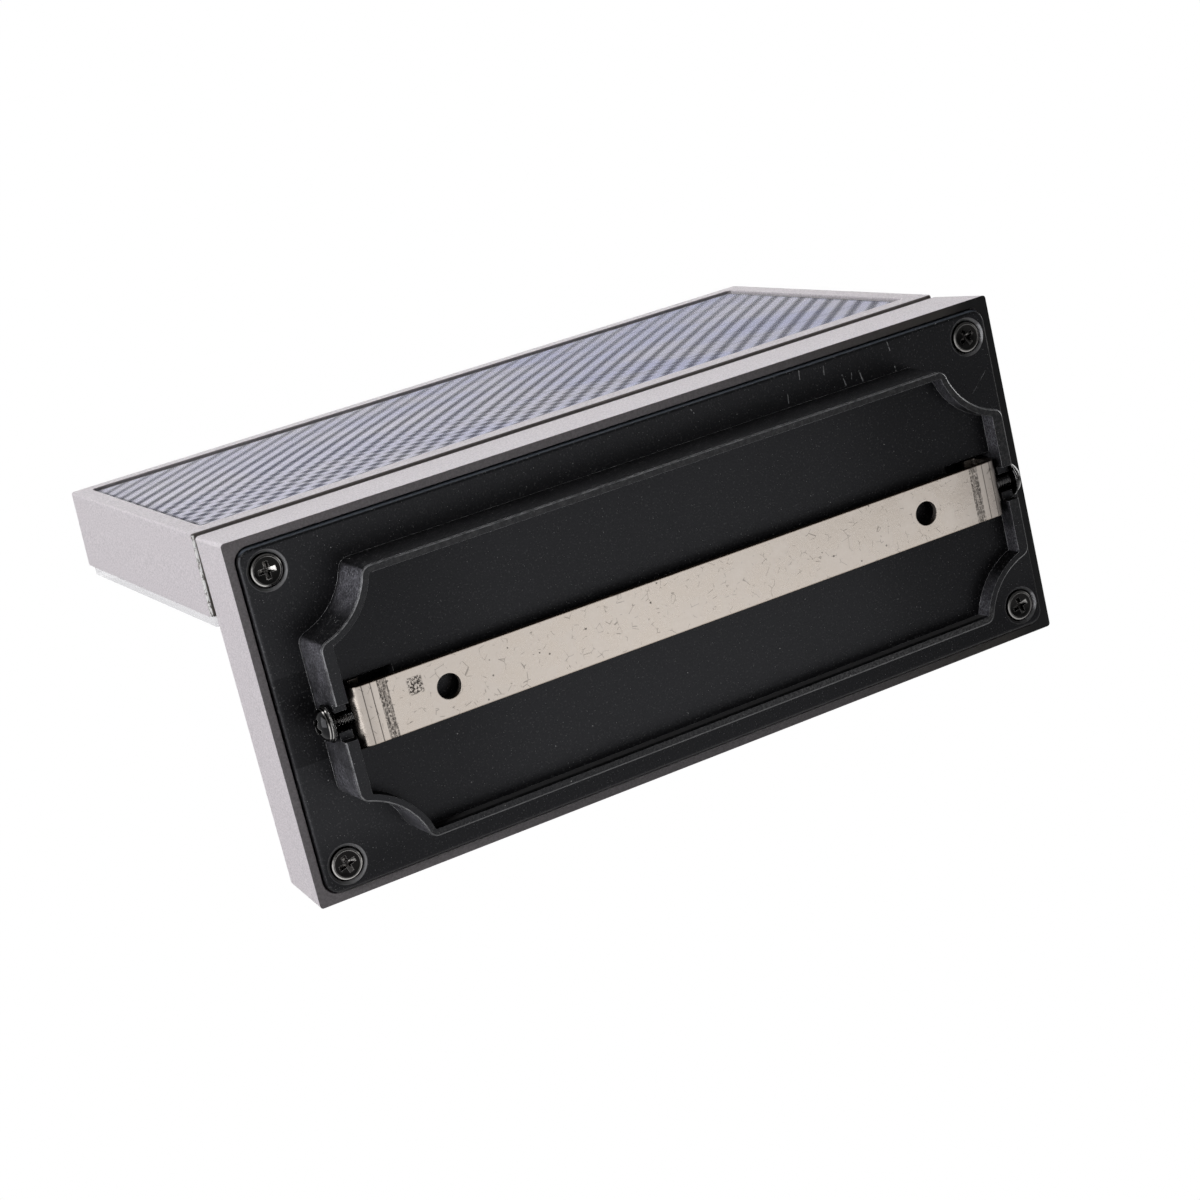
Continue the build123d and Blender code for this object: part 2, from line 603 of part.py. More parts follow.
def led_board_screws():
    """Screws through reflector and board into the head's bosses."""
    screw = plain_screw(SMALL_HEAD_RADIUS, SMALL_HEAD_HEIGHT, SMALL_SHANK_RADIUS, LED_SCREW_LENGTH)
    seat_z = reflector_top_z - REFLECTOR_THICKNESS
    return Compound([screw_at(screw, (x, led_y, seat_z), (0, 0, 1)) for x in LED_SCREWS])


def led_connector():
    """Socket on the upper side of the light engine's board, where the lead ends."""
    rear = led_y - LED_BOARD_WIDTH / 2
    half = CONNECTOR_LENGTH / 2
    return block(-half, half, rear, rear + CONNECTOR_DEPTH, led_board_top_z, neck_z + LEAD_RADIUS)


def battery_holder():
    """Tray for two cells with end walls and two screw ears."""
    wall = HOLDER_WALL
    y1 = inner_floor_y + HOLDER_FLOOR
    y2 = y1 + HOLDER_RISE
    outer_x = holder_half_x + wall
    outer_z = holder_half_z + wall
    tray = block(-outer_x, outer_x, inner_floor_y, y2, battery_z - outer_z, battery_z + outer_z)
    tray -= block(-holder_half_x, holder_half_x, y1, y2, battery_z - holder_half_z, battery_z + holder_half_z)
    ear_y = inner_floor_y + EAR_RISE
    half_x = EAR_LENGTH / 2
    half_z = EAR_WIDTH / 2
    for x in EARS:
        tray += block(x - half_x, x + half_x, ear_y, ear_y + HOLDER_FLOOR, battery_z - half_z, battery_z + half_z)
        tray -= out_rod(SMALL_SHANK_RADIUS + HOLE_CLEARANCE, x, battery_z, ear_y, ear_y + HOLDER_FLOOR)
    return tray


def battery_cells():
    """Two rechargeable cells side by side."""
    half = CELL_LENGTH / 2
    return Compound([side_rod(CELL_RADIUS, battery_y, z, -half, half) for z in CELLS])


def battery_contacts():
    """Leaf contacts between the cell ends and the holder's end walls."""
    half = CELL_LENGTH / 2
    size = CONTACT_SIZE / 2
    leaves = []
    for z in CELLS:
        for side in SIDES:
            leaf_x = sorted((side * half, side * (half + CONTACT_THICKNESS)))
            leaves.append(block(*leaf_x, battery_y - size, battery_y + size / 2, z - size, z + size))
    return Compound(leaves)


def holder_screws():
    """Two screws through the holder's ears into posts of the back plate."""
    screw = plain_screw(SMALL_HEAD_RADIUS, SMALL_HEAD_HEIGHT, SMALL_SHANK_RADIUS, SMALL_SHANK_LENGTH)
    seat_y = inner_floor_y + EAR_RISE + HOLDER_FLOOR
    return Compound([screw_at(screw, (x, seat_y, battery_z), (0, -1, 0)) for x in EARS])


def control_board():
    """Charge and light controller's board on four bosses of the wall box."""
    x0 = BOARD_SHIFT - BOARD_LENGTH / 2
    x1 = BOARD_SHIFT + BOARD_LENGTH / 2
    board = block(x0, x1, board_y, board_front_y, board_bottom_z, board_top_z)
    for x, z in BOARD_HOLES:
        board -= out_rod(SMALL_SHANK_RADIUS + HOLE_CLEARANCE, x, z, board_y, board_front_y)
    return board


def board_screws():
    """Four screws that hold the control board."""
    screw = plain_screw(SMALL_HEAD_RADIUS, SMALL_HEAD_HEIGHT, SMALL_SHANK_RADIUS, SMALL_SHANK_LENGTH)
    return Compound([screw_at(screw, (x, board_y, z), (0, 1, 0)) for x, z in BOARD_HOLES])


def board_connectors():
    """Two sockets along the board's upper edge: head lead and battery."""
    half = CONNECTOR_LENGTH / 2
    y0 = board_y - CONNECTOR_DEPTH
    z0 = board_top_z - CONNECTOR_HEIGHT
    return Compound([block(x - half, x + half, y0, board_y, z0, board_top_z) for x in (0, CONNECTOR_PITCH)])


def tact_switch():
    """Switch on the board's lower edge with a bore for its plunger."""
    half = SWITCH_LENGTH / 2
    z1 = board_bottom_z + SWITCH_HEIGHT
    body = block(button_x - half, button_x + half, board_y - SWITCH_DEPTH, board_y, board_bottom_z, z1)
    bore_end = board_bottom_z + PLUNGER_REACH + BUTTON_TRAVEL + SLIDE_CLEARANCE
    return body - up_rod(PLUNGER_RADIUS + SEAT_CLEARANCE, button_x, switch_y, board_bottom_z, bore_end)


def switch_plunger():
    """Plunger that the button pushes into the switch."""
    return up_rod(PLUNGER_RADIUS, button_x, switch_y, stem_top_z, board_bottom_z + PLUNGER_REACH)


def mode_button():
    """Push button in the underside of the wall box: cap, retaining flange and stem."""
    flange_z = -cavity_z + SEAL_THICKNESS + SEAT_CLEARANCE
    cap = up_rod(BUTTON_RADIUS, button_x, switch_y, -BOX_HEIGHT / 2 - BUTTON_PROUD, flange_z)
    cap = chamfer(cap.edges().sort_by(Axis.Z)[0], BUTTON_PROUD / 2)
    cap += up_rod(BUTTON_FLANGE_RADIUS, button_x, switch_y, flange_z, flange_z + BUTTON_FLANGE)
    return cap + up_rod(BUTTON_STEM_RADIUS, button_x, switch_y, flange_z + BUTTON_FLANGE, stem_top_z)


def button_seal():
    """Soft ring round the button inside the wall box."""
    ring = up_rod(BUTTON_FLANGE_RADIUS, button_x, switch_y, -cavity_z, SEAL_THICKNESS - cavity_z)
    hole = up_rod(BUTTON_RADIUS + SLIDE_CLEARANCE, button_x, switch_y, -cavity_z, SEAL_THICKNESS - cavity_z)
    return ring - hole


PIECES = {
    "base_housing": base_housing,
    "back_plate": back_plate,
    "back_gasket": back_gasket,
    "back_plate_screws": back_plate_screws,
    "wall_bracket": wall_bracket,
    "left_fixing_screw": lambda: fixing_screw(-1, LEFT_STANDOFF),
    "right_fixing_screw": lambda: fixing_screw(1, RIGHT_STANDOFF),
    "head_housing": head_housing,
    "head_spacer": head_spacer,
    "head_screws": head_screws,
    "head_lead": head_lead,
    "panel_tape": panel_tape,
    "solar_backing": solar_backing,
    "solar_cells": solar_cells,
    "solar_cover": solar_cover,
    "lens": lens,
    "lens_gasket": lens_gasket,
    "reflector": reflector,
    "led_board": led_board,
    "leds": leds,
    "led_board_screws": led_board_screws,
    "led_connector": led_connector,
    "battery_holder": battery_holder,
    "battery_cells": battery_cells,
    "battery_contacts": battery_contacts,
    "holder_screws": holder_screws,
    "control_board": control_board,
    "board_screws": board_screws,
    "board_connectors": board_connectors,
    "tact_switch": tact_switch,
    "switch_plunger": switch_plunger,
    "mode_button": mode_button,
    "button_seal": button_seal,
}

os.makedirs("parts", exist_ok=True)
for name, make in PIECES.items():
    export_step(make(), f"parts/{name}.step")
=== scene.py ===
import json
import math

import bmesh
import bpy
from mathutils import Matrix, Vector


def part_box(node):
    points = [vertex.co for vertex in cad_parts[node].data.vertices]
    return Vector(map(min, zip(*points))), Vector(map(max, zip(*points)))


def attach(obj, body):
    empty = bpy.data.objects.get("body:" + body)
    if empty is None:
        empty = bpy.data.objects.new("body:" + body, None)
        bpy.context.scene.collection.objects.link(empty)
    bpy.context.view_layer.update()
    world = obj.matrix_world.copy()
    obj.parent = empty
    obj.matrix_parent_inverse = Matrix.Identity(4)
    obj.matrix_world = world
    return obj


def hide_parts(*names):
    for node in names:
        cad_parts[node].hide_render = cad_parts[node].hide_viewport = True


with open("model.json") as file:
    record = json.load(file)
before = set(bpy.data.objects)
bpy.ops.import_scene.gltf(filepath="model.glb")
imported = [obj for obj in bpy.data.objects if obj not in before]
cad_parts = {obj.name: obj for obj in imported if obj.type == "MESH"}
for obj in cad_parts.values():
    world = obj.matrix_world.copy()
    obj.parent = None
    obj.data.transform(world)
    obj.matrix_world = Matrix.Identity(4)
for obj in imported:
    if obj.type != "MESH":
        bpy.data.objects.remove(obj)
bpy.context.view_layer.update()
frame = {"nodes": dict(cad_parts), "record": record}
NODES = frame["nodes"]
RECORD = frame["record"]

# Sizes below are in millimetres in the row frame unless a name says otherwise
MM = 0.001

# Camera
CAMERA_PLACE = (-249.963, -525.585, 152.239)
CAMERA_AXIS = (0.38343445, 0.8901411, -0.24622519)
CAMERA_UP = (0.31048451, 0.126848, 0.94207694)
CAMERA_LENS = 79.66
CAMERA_SENSOR = 36.0
CAMERA_CLIP_M = (0.01, 50.0)

# Stage
FLOOR_Z = -300.0
FLOOR_SIZE = 8000.0
FLOOR_COLOUR = (0.14, 0.14, 0.143, 1)
AMBIENT = 0.006
DARK_ROOM = 0.08
LOW_SKY = 0.6
FAR_SIDE_Y = (-0.2, 0.25)
LOW_SKY_Z = (0.05, 0.35)
FLOOR_FADE_START = 560.0
FLOOR_FADE_END = 1000.0
FLOOR_FADE_HIGH = 0.95
FLOOR_FADE_LOW = 0.2
FLOOR_ROUGHNESS = 0.9

# Solar stripes
STRIPE_PITCH_X = 6.655
STRIPE_PITCH_Y = -7.21
STRIPE_BOW = -1.24e-4
STRIPE_START = 0.173
PANEL_MID_Y = 89.0
ROW_PITCH = 3.0
STRIPE_MEAN = 0.55

# Screws
THREAD_PITCH = 0.7
THREAD_DEPTH = 0.32
LATHE_STEPS = 48
FIXING_HEAD_HEIGHT = 3.1
FIXING_SHANK = 1.95
FIXING_TURN = 28.0
CORNER_HEAD_RADIUS = 3.7
CORNER_HEAD_HEIGHT = 1.9
CORNER_SHANK = 1.7
SHANK_LENGTH = 12.0

# Driver recesses: arm, width and depth
FIXING_RECESS = (2.3, 1.1, 1.7)
CORNER_RECESS = (2.1, 1.15, 1.4)

# Angles in degrees over which edges stay sharp
TURNED_SHARP = 30
CUT_SHARP = 32
THREAD_SHARP = 60

# Corner screws: side along x, side along z and turn of the driver recess in degrees
CORNER_SCREWS = ((-1, 1, 0), (-1, -1, -17), (1, 1, -28), (1, -1, -15))

# Screw holes of the back plate
BORE_EDGE = (3.95, 4.7)
BORE_RIM_Y = (12.9, 13.95)

# Marks on the back plate
SMOOTH_PATCH_Z = (-9.8, 10.7)
SMOOTH_PATCH_X = (-89.2, -89.6)
CALM_WALL_Z = (-11.0, 9.0)
LOW_RIM_Z = (-27.0, -28.5)
RECESS_FLOOR_Y = (3.6, 5.2)

# Scratches on the back plate: both ends as x and z, and a width
SCRATCHES = (
    ((40.7, 34.8), (40.5, 32.7), 0.18),
    ((44.9, 39.3), (44.7, 37.3), 0.17),
    ((51.6, 38.6), (51.3, 36.6), 0.2),
    ((56.0, 35.1), (56.5, 32.5), 0.24),
    ((58.6, 34.9), (58.3, 33.5), 0.18),
    ((60.7, 34.8), (61.2, 32.2), 0.27),
    ((69.8, 39.2), (70.1, 37.1), 0.2),
    ((70.5, 33.1), (70.6, 31.9), 0.18),
    ((90.2, 20.5), (95.1, 25.0), 0.2),
    ((15.3, 38.7), (15.9, 37.6), 0.17),
)

# Marks on the bracket
STREAKS_X = (76.6, 78.9)
BEND_LINES_X = ((80.28, 80.48), (82.38, 82.58))
SCUFF_X = (-72.2, -68.8)
SCUFF_Z = (0.9, 4.7)
TINTED_EDGE_Z = (6.45, 6.75)

# Colours of the painted castings, with painted shade and painted glints
PAINT_DARK = (0.57, 0.532, 0.562, 1)
PAINT_LIGHT = (0.79, 0.738, 0.776, 1)
REAR_SHADE = (0.15, 0.136, 0.126, 1)
LIP_SHADE = (0.14, 0.13, 0.12, 1)
LIP_SHADE_RIGHT = (0.012, 0.012, 0.013, 1)
EDGE_GLINT = (0.97, 0.96, 0.96, 1)

# Colours of the black plastic, of the marks on it, and of painted light and highlights on it
PLASTIC_DARK = (0.006, 0.006, 0.0068, 1)
PLASTIC_LIGHT = (0.01, 0.01, 0.0112, 1)
SMOOTH_PATCH = (0.0035, 0.0035, 0.004, 1)
RIM_DUST = (0.6, 0.6, 0.6, 1)
INNER_WALL_PAINTED_LIGHT = (0.15, 0.15, 0.155, 1)
TOP_EDGE_HIGHLIGHT = (0.12, 0.14, 0.17, 1)
GRIT = (0.4, 0.4, 0.41, 1)
WALL_WEAR_AND_LIGHT = (0.32, 0.315, 0.36, 1)
EDGE_WEAR_AND_HIGHLIGHT = (0.75, 0.75, 0.77, 1)
BORE_RIM = (0.42, 0.42, 0.43, 1)
BORE_GLINT = (0.95, 0.95, 0.97, 1)
SPECK = (0.9, 0.9, 0.9, 1)
SCRATCH = (0.95, 0.96, 0.98, 1)

# Colours of the bracket and of worn screws, with painted shade and painted highlights
STEEL_DARK = (0.72, 0.64, 0.567, 1)
STEEL_LIGHT = (0.83, 0.75, 0.68, 1)
STEEL_SHEEN = (0.92, 0.87, 0.81, 1)
STEEL_SHADE = (0.22, 0.2, 0.19, 1)
STEEL_MARK = (0.04, 0.034, 0.03, 1)
CUT_EDGE = (0.22, 0.13, 0.07, 1)
WEAR_AND_HIGHLIGHT_METAL = (0.68, 0.66, 0.64, 1)

# Colours of the solar cells, in pairs that drift across the panel
CELL_PALE = ((0.65, 0.66, 0.85, 1), (0.74, 0.73, 0.84, 1))
CELL_DEEP = ((0.15, 0.153, 0.215, 1), (0.18, 0.178, 0.21, 1))
# Painted light: paler tone of the pale stripes at the left
CELL_PALE_PAINTED_LIGHT = (0.95, 0.92, 1.0, 1)

# Lamps: name, place, width, height and brightness
LAMP_TARGET = (0, 60, 10)
LAMPS = (
    ("top_light", (130, 580, 1150), 1300, 1300, 2.15),
    ("left_light", (-1150, -130, 250), 1000, 900, 3.65),
    ("right_light", (1250, 500, 60), 800, 500, 2.6),
    ("front_light", (250, 1300, 40), 1200, 400, 3.2),
)


def box_mm(node):
    """Low and high corner of a node in millimetres."""
    low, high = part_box(node)
    return Vector(low) / MM, Vector(high) / MM


class Look:
    """One procedural material with short calls for its nodes; places are in millimetres."""

    def __init__(self, name, **values):
        self.material = bpy.data.materials.new(name)
        self.material.use_nodes = True
        self.tree = self.material.node_tree
        self.shader = self.tree.nodes["Principled BSDF"]
        for socket, value in values.items():
            self.shader.inputs[socket.replace("_", " ")].default_value = value
        place = self.add("ShaderNodeTexCoord").outputs["Object"]
        scaled = self.add("ShaderNodeVectorMath", operation="SCALE")
        scaled.inputs["Scale"].default_value = 1 / MM
        self.tree.links.new(place, scaled.inputs[0])
        self.place = scaled.outputs[0]
        parts = self.add("ShaderNodeSeparateXYZ")
        self.tree.links.new(self.place, parts.inputs[0])
        self.x, self.y, self.z = parts.outputs
        self.normal = self.add("ShaderNodeNewGeometry").outputs["Normal"]

    def add(self, kind, **settings):
        """Node with settings."""
        node = self.tree.nodes.new(kind)
        for key, value in settings.items():
            setattr(node, key, value)
        return node

    def feed(self, socket, value):
        """Link or constant into a socket."""
        if isinstance(value, bpy.types.NodeSocket):
            self.tree.links.new(value, socket)
        else:
            socket.default_value = value

    def math(self, operation, *values, clamp=False):
        """Arithmetic on numbers."""
        node = self.add("ShaderNodeMath", operation=operation, use_clamp=clamp)
        for socket, value in zip(node.inputs, values):
            self.feed(socket, value)
        return node.outputs[0]

    def times(self, first, *others):
        """Product of several values."""
        for other in others:
            first = self.math("MULTIPLY", first, other)
        return first

    def plus(self, first, *others):
        """Sum of several values, kept between 0 and 1."""
        for other in others:
            first = self.math("ADD", first, other, clamp=True)
        return first

    def fade(self, value, low, high, start=0.0, end=1.0):
        """Smooth step of a value from start to end."""
        node = self.add("ShaderNodeMapRange", interpolation_type="SMOOTHSTEP")
        for socket, item in zip(node.inputs, (value, low, high, start, end)):
            self.feed(socket, item)
        return node.outputs[0]

    def band(self, value, low, high, soft):
        """1 between two limits, falling off over a soft edge."""
        rise = self.fade(value, low - soft, low + soft)
        return self.times(rise, self.fade(value, high - soft, high + soft, 1.0, 0.0))

    def dot(self, first, second):
        """Dot product of two directions."""
        node = self.add("ShaderNodeVectorMath", operation="DOT_PRODUCT")
        self.feed(node.inputs[0], first)
        self.feed(node.inputs[1], second)
        return node.outputs["Value"]

    def facing(self, direction):
        """1 on faces that look along a direction."""
        return self.fade(self.dot(self.normal, direction), 0.6, 0.85)

    def rounded(self, radius):
        """Normals as if the edges were rounded over a radius."""
        node = self.add("ShaderNodeBevel", samples=6)
        node.inputs["Radius"].default_value = radius * MM
        return node.outputs[0]

    def edges(self, radius):
        """1 along sharp edges, 0 on flat stretches."""
        return self.fade(self.dot(self.rounded(radius), self.normal), 0.995, 0.85)

    def warp(self, stretch):
        """Places scaled along the axes."""
        node = self.add("ShaderNodeVectorMath", operation="MULTIPLY")
        self.feed(node.inputs[0], self.place)
        node.inputs[1].default_value = stretch
        return node.outputs[0]

    def noise(self, size, detail=2.0, rough=0.5, stretch=(1, 1, 1)):
        """Soft noise with grains of about a size."""
        node = self.add("ShaderNodeTexNoise")
        self.feed(node.inputs["Vector"], self.warp(stretch))
        node.inputs["Scale"].default_value = 1 / size
        node.inputs["Detail"].default_value = detail
        node.inputs["Roughness"].default_value = rough
        return node.outputs["Fac"]

    def cells(self, size, feature="F1", out="Distance"):
        """Distance or colour of scattered cells of about a size."""
        node = self.add("ShaderNodeTexVoronoi", feature=feature)
        self.feed(node.inputs["Vector"], self.place)
        node.inputs["Scale"].default_value = 1 / size
        return node.outputs[out]

    def specks(self, spacing, radius, share):
        """Sparse round specks: share is how many of the cells hold one."""
        spot = self.fade(self.cells(spacing), radius / spacing * 0.6, radius / spacing, 1.0, 0.0)
        chance = self.add("ShaderNodeSeparateColor")
        self.feed(chance.inputs[0], self.cells(spacing, out="Color"))
        return self.times(spot, self.math("LESS_THAN", chance.outputs[0], share))

    def stroke(self, start, end, width):
        """Straight scratch in the XZ plane between two points."""
        node = self.add("ShaderNodeGroup", node_tree=stroke_group())
        self.feed(node.inputs["Place"], self.place)
        node.inputs["Start"].default_value = (start[0], 0, start[1])
        node.inputs["End"].default_value = (end[0], 0, end[1])
        node.inputs["Width"].default_value = width
        return node.outputs[0]

    def mix(self, factor, first, second):
        """Blend of two colours."""
        node = self.add("ShaderNodeMix", data_type="RGBA")
        sockets = [s for s in node.inputs if s.enabled]
        self.feed(sockets[0], factor)
        self.feed(sockets[1], first)
        self.feed(sockets[2], second)
        return next(s for s in node.outputs if s.enabled)

    def soften(self, radius):
        """Edges shaded as if rounded over a radius."""
        self.feed(self.shader.inputs["Normal"], self.rounded(radius))

    def bump(self, height, depth, strength=1.0):
        """Surface relief of a depth, into the shader's normal, on top of relief set before."""
        node = self.add("ShaderNodeBump")
        self.feed(node.inputs["Height"], height)
        node.inputs["Distance"].default_value = depth * MM
        node.inputs["Strength"].default_value = strength
        normal = self.shader.inputs["Normal"]
        if normal.is_linked:
            self.feed(node.inputs["Normal"], normal.links[0].from_socket)
        self.feed(normal, node.outputs[0])

    def colour(self, value):
        """Base colour of the shader."""
        self.feed(self.shader.inputs["Base Color"], value)

    def rough(self, value):
        """Roughness of the shader."""
        self.feed(self.shader.inputs["Roughness"], value)


def stroke_group():
    """Shared node group: 1 near a straight stroke seen along Y, 0 elsewhere."""
    name = "stroke"
    if name in bpy.data.node_groups:
        return bpy.data.node_groups[name]
    tree = bpy.data.node_groups.new(name, "ShaderNodeTree")
    for label, kind in (("Place", "Vector"), ("Start", "Vector"), ("End", "Vector"), ("Width", "Float")):
        tree.interface.new_socket(label, in_out="INPUT", socket_type=f"NodeSocket{kind}")
    tree.interface.new_socket("Mask", in_out="OUTPUT", socket_type="NodeSocketFloat")
    given = tree.nodes.new("NodeGroupInput")
    result = tree.nodes.new("NodeGroupOutput")

    def vector(operation, first, second, third=None):
        node = tree.nodes.new("ShaderNodeVectorMath")
        node.operation = operation
        for socket, value in zip(node.inputs, (first, second)):
            if isinstance(value, bpy.types.NodeSocket):
                tree.links.new(value, socket)
            else:
                socket.default_value = value
        if third is not None:
            tree.links.new(third, node.inputs["Scale"])
        return node.outputs["Value" if operation in ("DOT_PRODUCT", "LENGTH") else "Vector"]

    def number(operation, first, second, clamp=False):
        node = tree.nodes.new("ShaderNodeMath")
        node.operation = operation
        node.use_clamp = clamp
        tree.links.new(first, node.inputs[0])
        tree.links.new(second, node.inputs[1])
        return node.outputs[0]

    flat = vector("MULTIPLY", given.outputs["Place"], (1, 0, 1))
    along = vector("SUBTRACT", given.outputs["End"], given.outputs["Start"])
    offset = vector("SUBTRACT", flat, given.outputs["Start"])
    length_squared = vector("DOT_PRODUCT", along, along)
    share = number("DIVIDE", vector("DOT_PRODUCT", offset, along), length_squared, clamp=True)
    nearest = vector("SCALE", along, (0, 0, 0), share)
    gap = vector("LENGTH", vector("SUBTRACT", offset, nearest), (0, 0, 0))
    edge = tree.nodes.new("ShaderNodeMapRange")
    edge.interpolation_type = "SMOOTHSTEP"
    tree.links.new(gap, edge.inputs["Value"])
    edge.inputs["From Min"].default_value = 0.0
    tree.links.new(given.outputs["Width"], edge.inputs["From Max"])
    edge.inputs["To Min"].default_value = 1.0
    edge.inputs["To Max"].default_value = 0.0
    tree.links.new(edge.outputs[0], result.inputs[0])
    return tree


def housing_paint():
    """Fine-textured silver-grey paint on the castings, with painted shade on rear faces and bright painted
    glints along the left edges.
    """
    look = Look("housing_paint", Specular_IOR_Level=0.2)
    look.soften(0.3)
    grain = look.noise(0.42, 3.0, 0.65)
    base = look.mix(look.fade(grain, 0.34, 0.66), PAINT_DARK, PAINT_LIGHT)
    # Painted shade on the head's rear face in the gap to the box, weaker on the frame's far inner wall
    head_rear = box_mm("head_housing")[0].y
    rearward = look.fade(look.dot(look.normal, (0, -1, 0)), 0.25, 0.45)
    shaded_rear = look.times(
        rearward,
        look.fade(look.y, head_rear - 0.4, head_rear - 0.2),
        look.fade(look.y, 60.0, 100.0, 1.0, 0.66),
    )
    base = look.mix(shaded_rear, base, REAR_SHADE)
    # Painted shade on the box's rim at the wall, stronger towards the right and near black at the right end
    base_rear = box_mm("base_housing")[0].y
    lip = look.times(look.facing((0, -1, 0)), look.fade(look.y, base_rear + 1.2, base_rear + 0.6))
    lip_painted_shade = look.mix(look.fade(look.x, 85.0, 96.0), LIP_SHADE, LIP_SHADE_RIGHT)
    base = look.mix(look.times(lip, look.fade(look.x, 10.0, 95.0, 0.4, 1.0)), base, lip_painted_shade)
    # Painted highlight: bright broken glints on the vertical edges at the left end
    upright = look.fade(look.math("ABSOLUTE", look.dot(look.normal, (0, 0, 1))), 0.35, 0.2)
    turned = look.band(look.math("ABSOLUTE", look.dot(look.normal, (1, 0, 0))), 0.3, 0.93, 0.06)
    glint_breakup = look.fade(look.noise(0.6, 3.0, 0.7, (1, 1, 0.6)), 0.39, 0.5)
    glint = look.times(turned, upright, glint_breakup, look.fade(look.x, -98.3, -99.2))
    look.colour(look.mix(glint, base, EDGE_GLINT))
    look.rough(look.fade(grain, 0.2, 0.8, 0.6, 0.46))
    look.bump(grain, 0.05, 0.5)
    return look.material


def bore_rims(look):
    """Masks for painted highlights on the corner holes' bevelled mouths: all four, and the outer side of
    the right ones.
    """
    high = box_mm("back_plate_screws")[1]
    across = look.math("SUBTRACT", look.math("ABSOLUTE", look.x), high.x - CORNER_HEAD_RADIUS)
    along = look.math("SUBTRACT", look.math("ABSOLUTE", look.z), high.z - CORNER_HEAD_RADIUS)
    reach = look.math("SQRT", look.math("ADD", look.times(across, across), look.times(along, along)))
    rim_highlights = look.times(look.band(reach, *BORE_EDGE, 0.08), look.band(look.y, *BORE_RIM_Y, 0.08))
    outer = look.fade(look.math("DIVIDE", across, reach), 0.82, 0.96)
    return rim_highlights, look.times(rim_highlights, outer, look.math("GREATER_THAN", look.x, 0.0))


def dusty_rim(look, base, rim_face, low_rim):
    """Base colour with dust on the rim's face: a thin haze, and crumbs along the bottom."""
    haze = look.fade(look.noise(1.3, 4.0, 0.65), 0.4, 0.7, 0.3, 1.0)
    upper_right = look.times(
        look.fade(look.z, -20.0, 10.0, 0.02, 0.17),
        look.fade(look.x, -84.0, -68.0, 0.1, 1.0),
    )
    base = look.mix(look.times(rim_face, haze, upper_right), base, RIM_DUST)
    crumbs = look.fade(look.noise(0.7, 4.0, 0.75), 0.4, 0.62, 0.15, 1.0)
    settled = look.fade(look.x, -40.0, 40.0, 0.1, 0.3)
    return look.mix(look.times(rim_face, low_rim, crumbs, settled), base, RIM_DUST)


def wall_wear_and_light(look):
    """Pale scuffs on the walls that face left, partly wear and partly painted light from the left, fewer
    beside the left screw.
    """
    return look.times(
        look.fade(look.noise(0.45, 3.0, 0.75), 0.4, 0.64, 0.1, 1.0),
        look.fade(look.noise(6.0, 3.0, 0.6), 0.36, 0.62, 0.4, 1.0),
        look.fade(look.x, -40.0, 40.0, 0.58, 0.62),
        look.fade(look.band(look.z, *CALM_WALL_Z, 1.5), 0.0, 1.0, 1.0, 0.42),
        look.facing((-1, 0, 0)),
        look.fade(look.y, 13.0, 11.5),
    )


def edge_wear_and_highlights(look, rearward, low_rim):
    """Pale lines along sharp edges and the rim's bevel, fainter along the bottom: partly wear and dust,
    partly painted highlight.
    """
    streaks = look.noise(1.6, 3.0, 0.6)
    sharp = look.times(look.edges(0.16), look.fade(streaks, 0.34, 0.6, 0.4, 1.0))
    bevel = look.times(
        look.band(rearward, 0.58, 0.88, 0.06),
        look.fade(look.y, 0.26, 0.16),
        look.fade(streaks, 0.34, 0.6, 0.12, 0.4),
    )
    return look.times(look.plus(sharp, bevel), look.fade(low_rim, 0.0, 1.0, 1.0, 0.45))


def plastic_shine(look, patch, upward):
    """Strength of the gloss: less at the right, the bottom, the recess's ends and on upward faces."""
    floor_ends = look.times(
        look.band(look.y, *RECESS_FLOOR_Y, 0.2),
        look.fade(look.math("ABSOLUTE", look.x), 35.0, 72.0),
    )
    return look.times(
        look.fade(look.x, 10.0, 95.0, 0.38, 0.24),
        look.fade(floor_ends, 0.0, 1.0, 1.0, 0.78),
        look.fade(look.z, -36.0, -24.0, 0.6, 1.0),
        look.fade(patch, 0.0, 1.0, 1.0, 0.72),
        look.fade(upward, 0.0, 1.0, 1.0, 0.15),
    )


